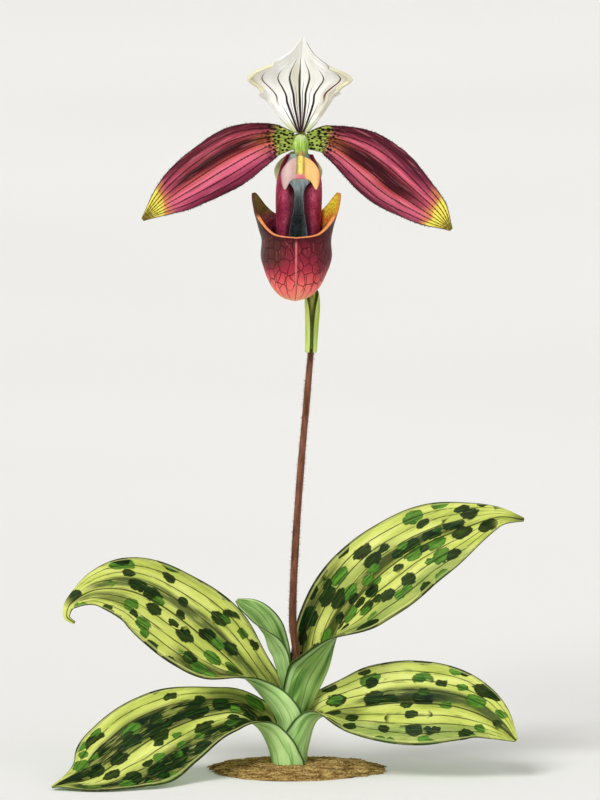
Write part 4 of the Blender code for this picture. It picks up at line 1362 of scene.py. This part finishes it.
def make_pouch():
    # Half width and half depth by height above the tip, and the rim's height by turn from the front.
    half_width = track(
        [(0, 0.6), (0.8, 3.3), (2.5, 5.6), (5, 7.4), (9, 9.2), (13, 10), (19, 10.2), (25, 11.8), (32, 13.4)]
    )
    half_depth = track(
        [(0, 0.6), (0.8, 3.3), (2.5, 5.6), (5, 7.2), (9, 8.6), (13, 9.5), (19, 9.8), (32, 9.4)]
    )
    rim = track(
        [
            (0, 19.6), (0.65, 20.3), (0.94, 22), (1.25, 25), (1.55, 27.6), (1.72, 30.2), (1.87, 31.4),
            (2.05, 30.2), (2.3, 27), (2.6, 24.4), (math.pi, 23.6),
        ]
    )

    def place(across, along):
        turn = across * math.pi
        height = rim(abs(turn)) * along**0.8
        forward = 1.8 * math.exp(-height / 6)
        aside = 0.4 * math.exp(-height / 4)
        ridge = 0.25 * math.exp(-((turn / 0.05) ** 2)) * smooth_step(0.05, 0.2, along)
        uneven = 0.35 * noise.noise(Vector((math.sin(turn) * 2.2, math.cos(turn) * 2.2, height / 5)))
        swell = 1 + (ridge + uneven * smooth_step(0.0, 0.3, along) * smooth_step(1.0, 0.9, along)) / 9
        x = LIP_CENTRE[0] - aside + half_width(height) * swell * math.sin(turn)
        y = LIP_CENTRE[1] - forward - half_depth(height) * swell * math.cos(turn)
        return Vector((x, y, LIP_TIP_Z + height))

    def size(across, along):
        turn = across * math.pi
        height = rim(abs(turn)) * along**0.8
        return turn * half_width(height), height

    bm = sheet_grid((150, 80), place, size)
    bmesh.ops.remove_doubles(bm, verts=bm.verts, dist=0.005 * MM)
    low = [e for e in bm.edges if e.is_boundary and e.verts[0].co.z < 150 * MM]
    bmesh.ops.holes_fill(bm, edges=low, sides=0)
    pouch = new_object("lip_pouch", bm, [pouch_outside(), pouch_inside()])
    with_wall(pouch, LIP_THICKNESS)
    on_plant(pouch, "lip", "lip")


def make_claw():
    foot, height = 161.5, 25.6
    half_width = track([(0, 5.8), (0.3, 6.3), (0.65, 6.4), (0.85, 5.4), (1, 3.8)])
    half_depth = track([(0, 4.6), (0.5, 4.4), (1, 2.4)])
    back = track([(0, -4.6), (0.3, -4.0), (0.7, -2.0), (1, -0.3)])
    reach = track([(0, 2.6), (0.2, 2.75), (0.45, 2.93), (0.65, 2.85), (0.8, 2.1), (0.9, 1.7), (1, 1.4)])

    def place(across, along):
        turn = across * reach(along)
        x = 2.1 + 0.5 * along + half_width(along) * math.sin(turn)
        y = back(along) - half_depth(along) * (1 - math.cos(turn))
        return Vector((x, y, foot + height * along))

    def size(across, along):
        return across * reach(along) * half_width(along), along * height

    claw = new_object("lip_claw", sheet_grid((80, 60), place, size), [claw_inside(), claw_outside()])
    walled(claw, LIP_THICKNESS, 0.6)
    on_plant(claw, "lip", "lip")


# Soil.

CRUMBS = 1900


def soil_surface():
    """The patch's surface, as a function of the share of the way out and the turn."""
    draw = random.Random(7)
    waves = [(k, draw.uniform(0.2, 1.0) / k, draw.uniform(0, math.tau)) for k in range(2, 12)]
    height = track([(0, SOIL_TOP), (0.35, SOIL_TOP - 0.1), (0.7, 2.3), (0.92, 1.3), (1, 0.5)])

    def surface(share, turn):
        outline = 1 + 0.085 * sum(size * math.sin(k * turn + shift) for k, size, shift in waves)
        torn = 0.11 * noise.fractal(Vector((math.sin(turn) * 7, math.cos(turn) * 1.5, 4.2)), 1.0, 2.0, 3)
        edge = (outline + torn * math.cos(turn) ** 2) * share
        x = SOIL_CENTRE[0] * share + SOIL_RADII[0] * edge * math.cos(turn)
        y = SOIL_CENTRE[1] * share + SOIL_RADII[1] * edge * math.sin(turn)
        rough = noise.fractal(Vector((x / 3.5, y / 2.2, 1.3)), 1.0, 2.0, 4)
        z = height(share) + 0.45 * rough * smooth_step(1.0, 0.85, share)
        return Vector((x, y, max(z, 0.25)))

    return surface


def make_soil():
    surface = soil_surface()
    bm = bmesh.new()
    bmesh.ops.create_grid(bm, x_segments=160, y_segments=56, size=1.0)
    for vertex in bm.verts:
        share, turn = 0.16 + 0.84 * (vertex.co.y + 1) / 2, vertex.co.x * math.pi
        vertex.co = surface(share, turn) * MM
    bmesh.ops.remove_doubles(bm, verts=bm.verts, dist=0.005 * MM)
    rings = [e for e in bm.edges if e.is_boundary]
    foot = bmesh.ops.extrude_edge_only(bm, edges=rings)
    for vertex in [v for v in foot["geom"] if isinstance(v, bmesh.types.BMVert)]:
        vertex.co.z = 0.0
    bmesh.ops.holes_fill(bm, edges=[e for e in bm.edges if e.is_boundary], sides=0)
    bmesh.ops.recalc_face_normals(bm, faces=bm.faces)
    look = soil_finish("soil brown", (92, 68, 36), (164, 134, 76))
    on_plant(new_object("soil_patch", bm, [look]), "soil", "soil")

    # Every third crumb is a fibre, and every ninth piece lies at the torn ends.
    draw = random.Random(31)
    crumbs = bmesh.new()
    for order in range(CRUMBS):
        share, turn = math.sqrt(draw.uniform(0.08, 1.0)), draw.uniform(-math.pi, math.pi)
        fibre = order % 3 == 0
        if order % 9 == 0:
            share, turn = draw.uniform(0.9, 1.02), draw.gauss(draw.choice((0, math.pi)), 0.5)
        spot = surface(share * 0.97, turn)
        long = draw.uniform(1.6, 4.2) * (1.15 - 0.5 * share) if fibre else draw.uniform(0.35, 1.2)
        thick = draw.uniform(0.16, 0.28) if fibre else draw.uniform(0.22, 0.46)
        lean = draw.uniform(-0.04, 0.04) if fibre else draw.uniform(-0.3, 0.3)
        turned = Matrix.Rotation(draw.gauss(0, 0.16 if fibre else 0.4), 4, "Z")
        turned = turned @ Matrix.Rotation(lean, 4, "Y")
        spot.z = max(spot.z, thick * 0.7)
        placed = Matrix.Translation(spot * MM) @ turned @ Matrix.Diagonal((long, thick * 1.2, thick, 1.0))
        made = bmesh.ops.create_icosphere(crumbs, subdivisions=1, radius=MM, matrix=placed)
        for vertex in made["verts"]:
            vertex.co += noise.noise_vector(vertex.co * 1300) * 0.16 * MM
            vertex.co.z = max(vertex.co.z, 0.02 * MM)
    crumb_look = soil_finish("soil crumbs", (94, 70, 38), (170, 138, 80))
    on_plant(new_object("soil_crumbs", crumbs, [crumb_look]), "soil")


# Stage, in metres.

FLOOR_RADIUS = 13.0
FLOOR_BEND = 2.0
WALL_TOP = 5.0
# Name, strength, and softness and turn in degrees.
SUNS = [("key", 1.95, 25, (48, 0, -32)), ("fill", 0.45, 50, (62, 0, 50))]
SKY = 0.52
VIEW_TILT = math.radians(8)
VIEW_HEIGHT = 0.24
VIEW_CENTRE = (0.0027, 0.1119)
CAMERA_DISTANCE = 4.0
FILM = 36


def make_stage():
    """A pale floor that bends up into a wall all round, far out from the plant."""
    paper = Finish("pale floor", 0.9)
    cloud = paper.clouds(paper.on_piece(), 400.0, detail=1.0)
    paper.colour = paper.shades(cloud, [(0.3, (236, 235, 231)), (0.7, (240, 239, 236))])
    profile = [(0.0, 0.0), (2.0, 0.0), (FLOOR_RADIUS, 0.0)]
    for step in range(1, 13):
        angle = step / 12 * math.pi / 2
        profile.append(
            (FLOOR_RADIUS + FLOOR_BEND * math.sin(angle), FLOOR_BEND * (1 - math.cos(angle)))
        )
    profile.append((FLOOR_RADIUS + FLOOR_BEND, WALL_TOP))
    bm = bmesh.new()
    line = [bm.verts.new((radius, 0, height)) for radius, height in profile]
    edges = [bm.edges.new(pair) for pair in zip(line, line[1:])]
    bmesh.ops.spin(
        bm, geom=line + edges, cent=(0, 0, 0), axis=(0, 0, 1), angle=math.tau, steps=96, use_merge=True
    )
    bmesh.ops.remove_doubles(bm, verts=bm.verts, dist=0.0001)
    bmesh.ops.recalc_face_normals(bm, faces=bm.faces)
    bmesh.ops.reverse_faces(bm, faces=bm.faces)
    new_object("pale_floor", bm, [paper.done()])


def make_light():
    world = bpy.data.worlds.new("studio")
    world.use_nodes = True
    background = world.node_tree.nodes["Background"]
    background.inputs["Color"].default_value = (1.0, 1.0, 1.0, 1.0)
    background.inputs["Strength"].default_value = SKY
    bpy.context.scene.world = world
    for name, strength, softness, turned in SUNS:
        lamp = bpy.data.lights.new(name, "SUN")
        lamp.energy = strength
        lamp.angle = math.radians(softness)
        obj = bpy.data.objects.new(name, lamp)
        obj.rotation_euler = [math.radians(angle) for angle in turned]
        bpy.context.scene.collection.objects.link(obj)


def make_camera():
    """The plate's view: 8 degrees from above and from far off, so that nothing looks foreshortened."""
    camera = bpy.data.cameras.new("camera")
    camera.sensor_fit = "VERTICAL"
    camera.sensor_height = FILM
    camera.lens = FILM * CAMERA_DISTANCE / VIEW_HEIGHT
    camera.clip_end = 60
    obj = bpy.data.objects.new("camera", camera)
    up = Vector((0, math.sin(VIEW_TILT), math.cos(VIEW_TILT)))
    ahead = Vector((0, math.cos(VIEW_TILT), -math.sin(VIEW_TILT)))
    target = Vector((VIEW_CENTRE[0], 0, 0)) + up * VIEW_CENTRE[1]
    obj.location = target - ahead * CAMERA_DISTANCE
    obj.rotation_euler = (math.radians(90) - VIEW_TILT, 0, 0)
    bpy.context.scene.collection.objects.link(obj)
    bpy.context.scene.camera = obj


def main():
    for make in (
        make_camera, make_light, make_stage, make_leaves, make_ovary_and_bract, make_sepals,
        make_petals, make_pouch, make_claw, make_column, make_staminode, make_soil,
    ):
        make()
    bpy.context.scene.view_settings.view_transform = "Standard"


main()
